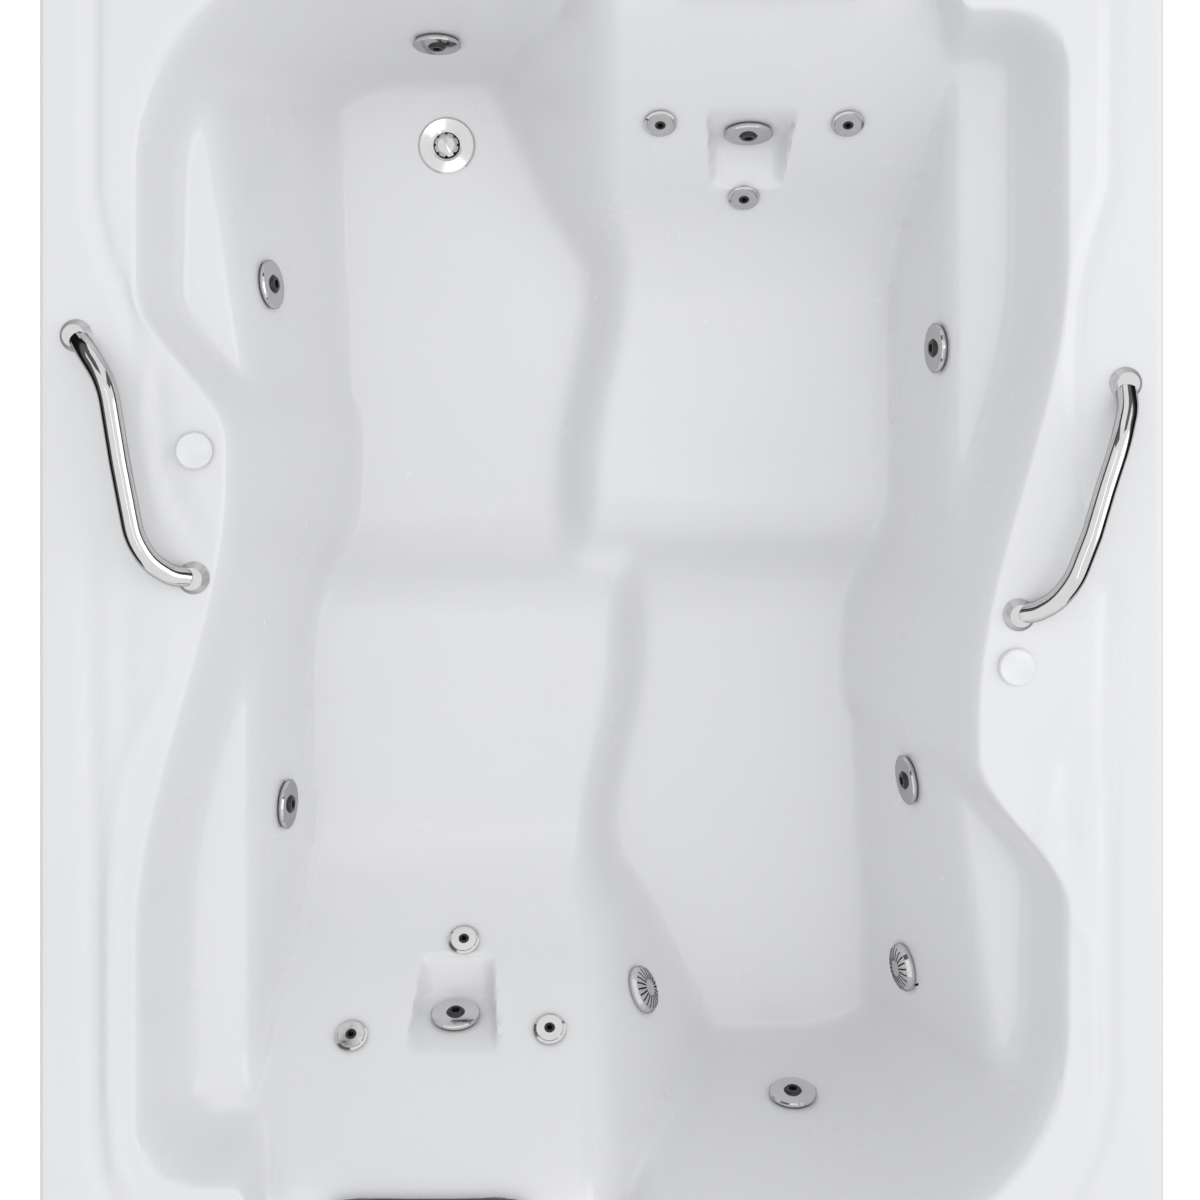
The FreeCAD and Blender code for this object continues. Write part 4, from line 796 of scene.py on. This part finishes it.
def puff(piece, low, high):
    """Puff a piece up by simulated pressure, inside its box; gives the longest free move in metres."""
    remesh = piece.modifiers.new("even", "REMESH")
    remesh.mode, remesh.voxel_size = "VOXEL", VOXEL
    applied(piece)
    start = np.array([v.co for v in piece.data.vertices])
    cloth = piece.modifiers.new("foam", "CLOTH")
    cloth.settings.use_pressure = True
    cloth.settings.uniform_pressure_force = PRESSURE
    cloth.settings.effector_weights.gravity = 0
    cloth.point_cache.frame_start, cloth.point_cache.frame_end = 1, FRAMES
    for number in range(1, FRAMES + 1):
        scene.frame_set(number)
    view = bpy.context.evaluated_depsgraph_get()
    after = np.array([v.co for v in piece.evaluated_get(view).data.vertices])
    piece.modifiers.clear()
    scene.frame_set(1)
    moved = after - start
    far = np.linalg.norm(moved, axis=1, keepdims=True)
    moved *= np.minimum(far, CAP) / np.maximum(far, 1e-9)
    after = np.clip(start + moved, np.array(low), np.array(high))
    piece.data.vertices.foreach_set("co", after.ravel())
    return float(far.max())


for side in ("left", "right"):
    low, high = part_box(f"headrest_{side}")
    pad = headrest_block(f"headrest_{side}_pad", low, high)
    print(side, "headrest puffed by up to", round(puff(pad, low, high) * 1000, 1), "mm")
    smooth = pad.modifiers.new("smooth", "SUBSURF")
    smooth.levels = smooth.render_levels = 1
    applied(pad)
    dress(pad, skin)
    pad.data.shade_smooth()
    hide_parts(f"headrest_{side}")
    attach(pad, f"pillow_{side}")
    print(pad.name, "faces", len(pad.data.polygons))

# %% [markdown]
# ## Floor and background
# The bath stands on a plain pale floor that must look white in the picture without lighting the
# bath more. So the floor is an ordinary matt surface for light, and only for rays from the
# camera, from chrome or through clear plastic does it add the little that is missing to white.
# The shadow stays, because that little is the same everywhere.

# %% Floor
def sees_background(material):
    """1 for rays of the camera, of reflections and through clear things, else 0."""
    path = add(material, "LightPath")
    total = None
    for ray in ("Is Camera Ray", "Is Glossy Ray", "Is Transmission Ray"):
        if total is None:
            total = path.outputs[ray]
            continue
        both = add(material, "Math", operation="MAXIMUM")
        join(material, total, both.inputs[0])
        join(material, path.outputs[ray], both.inputs[1])
        total = both.outputs[0]
    return total


floor_paint = finish("floor_paint", Base_Color=(0.78, 0.78, 0.78), Roughness=0.9, Specular_IOR_Level=0.1)
floor_paint.node_tree.nodes["Principled BSDF"].inputs["Emission Color"].default_value = (1, 1, 1, 1)
lift = add(floor_paint, "Math", operation="MULTIPLY")
lift.inputs[1].default_value = 0.5
join(floor_paint, sees_background(floor_paint), lift.inputs[0])
join(floor_paint, lift.outputs[0], shader_of(floor_paint).inputs["Emission Strength"])

ground = bpy.data.meshes.new("floor")
REACH = 9
ground.from_pydata([(-REACH, -REACH, 0), (REACH, -REACH, 0), (REACH, REACH, 0), (-REACH, REACH, 0)], [],
                   [(0, 1, 2, 3)])
floor = bpy.data.objects.new("floor", ground)
floor.location.z = float(cad_low.z) - 0.0005
dress(floor, floor_paint)
scene.collection.objects.link(floor)
floor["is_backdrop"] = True
print("floor reaches", REACH, "m each way")

# %% [markdown]
# ## Light
# The photograph has the soft, even light of a studio: highlights on the acrylic are wide and faint,
# so its lamps were large. One very broad panel hangs over the bath, a second one on the right makes
# that rim a little brighter than the left, and a pale world fills in. The broad panel would turn
# every level chrome face white, so reflections skip it, and a narrow panel draws the bright line
# along the top of each grab bar instead.
# White acrylic hardly needs anything to reflect, but chrome lives on contrast. The dark streaks
# along the grab bars are dark things at the edge of the studio, so boards stand around
# the bath. Only reflections see them: to the camera and to the light they are not there.

# %% Lamps and world
def panel(name, place, power, size, aim=(0, 0, 0.4)):
    data = bpy.data.lights.new(name, "AREA")
    data.shape, data.energy, data.size = "DISK", power, size
    lamp = bpy.data.objects.new(name, data)
    lamp.location = place
    lamp.rotation_euler = (Vector(aim) - Vector(place)).to_track_quat("-Z", "Y").to_euler()
    scene.collection.objects.link(lamp)
    return lamp


panel("overhead", (0.4, 0.3, 4.6), 38, 4.4).visible_glossy = False
panel("right_side", (3.4, 0.2, 2.9), 22, 3.0)
streak = panel("streak", (-0.1, 0.2, 4.5), 3, 0.3)
streak.data.shape, streak.data.size_y = "RECTANGLE", 3.6


def dark_board(name, corners):
    """An upright board that only reflections see."""
    data = bpy.data.meshes.new(name)
    data.from_pydata(corners, [], [(0, 1, 2, 3)])
    board = bpy.data.objects.new(name, data)
    dress(board, dark_felt)
    board.visible_camera = board.visible_diffuse = board.visible_shadow = False
    scene.collection.objects.link(board)
    board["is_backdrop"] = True


dark_felt = finish("dark_felt", Base_Color=(0.012, 0.012, 0.012), Roughness=0.95, Specular_IOR_Level=0.1)
height = add(dark_felt, "SeparateXYZ")
join(dark_felt, place_of(dark_felt), height.inputs["Vector"])
colour_from(dark_felt, height.outputs["Z"], [(0.0, (0.008,) * 3), (0.75, (0.012,) * 3), (1.0, (0.16,) * 3)])
for side, x, near_top, far_top in (("left", -1.6, 1.2, 1.5), ("right", 1.6, 0.95, 1.3)):
    dark_board(side + "_board", [(x, -1.4, 0.1), (x, 2.0, 0.1), (x, 2.0, far_top), (x, -1.4, near_top)])
for side, start, end in (("left", -2.4, -0.75), ("right", 0.75, 2.0)):
    dark_board("far_board_" + side, [(start, 2.3, 0.3), (end, 2.3, 0.3), (end, 2.3, 3.0), (start, 2.3, 3.0)])

world = bpy.data.worlds.new("studio")
scene.world = world
world.use_nodes = True
tree = world.node_tree
rays = tree.nodes.new("ShaderNodeLightPath")
seen = rays.outputs["Is Camera Ray"]
for ray in ("Is Glossy Ray", "Is Transmission Ray"):
    either = tree.nodes.new("ShaderNodeMath")
    either.operation = "MAXIMUM"
    tree.links.new(seen, either.inputs[0])
    tree.links.new(rays.outputs[ray], either.inputs[1])
    seen = either.outputs[0]
mix = tree.nodes.new("ShaderNodeMixShader")
fill = tree.nodes["Background"]
fill.inputs["Color"].default_value, fill.inputs["Strength"].default_value = (0.97, 0.98, 1, 1), 0.76
backdrop = tree.nodes.new("ShaderNodeBackground")
backdrop.inputs["Color"].default_value, backdrop.inputs["Strength"].default_value = (1, 1, 1, 1), 1.0
tree.links.new(seen, mix.inputs[0])
tree.links.new(fill.outputs[0], mix.inputs[1])
tree.links.new(backdrop.outputs[0], mix.inputs[2])
tree.links.new(mix.outputs[0], tree.nodes["World Output"].inputs["Surface"])

# %% [markdown]
# ## Measure and finish
# The box of the visual model is measured and printed, beside the CAD frame's box printed at the start.
# The visual model has to stay inside the box of the CAD model.

# %% Sizes
low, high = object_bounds()
print("visual box", [round(b - a, 4) for a, b in zip(low, high)])
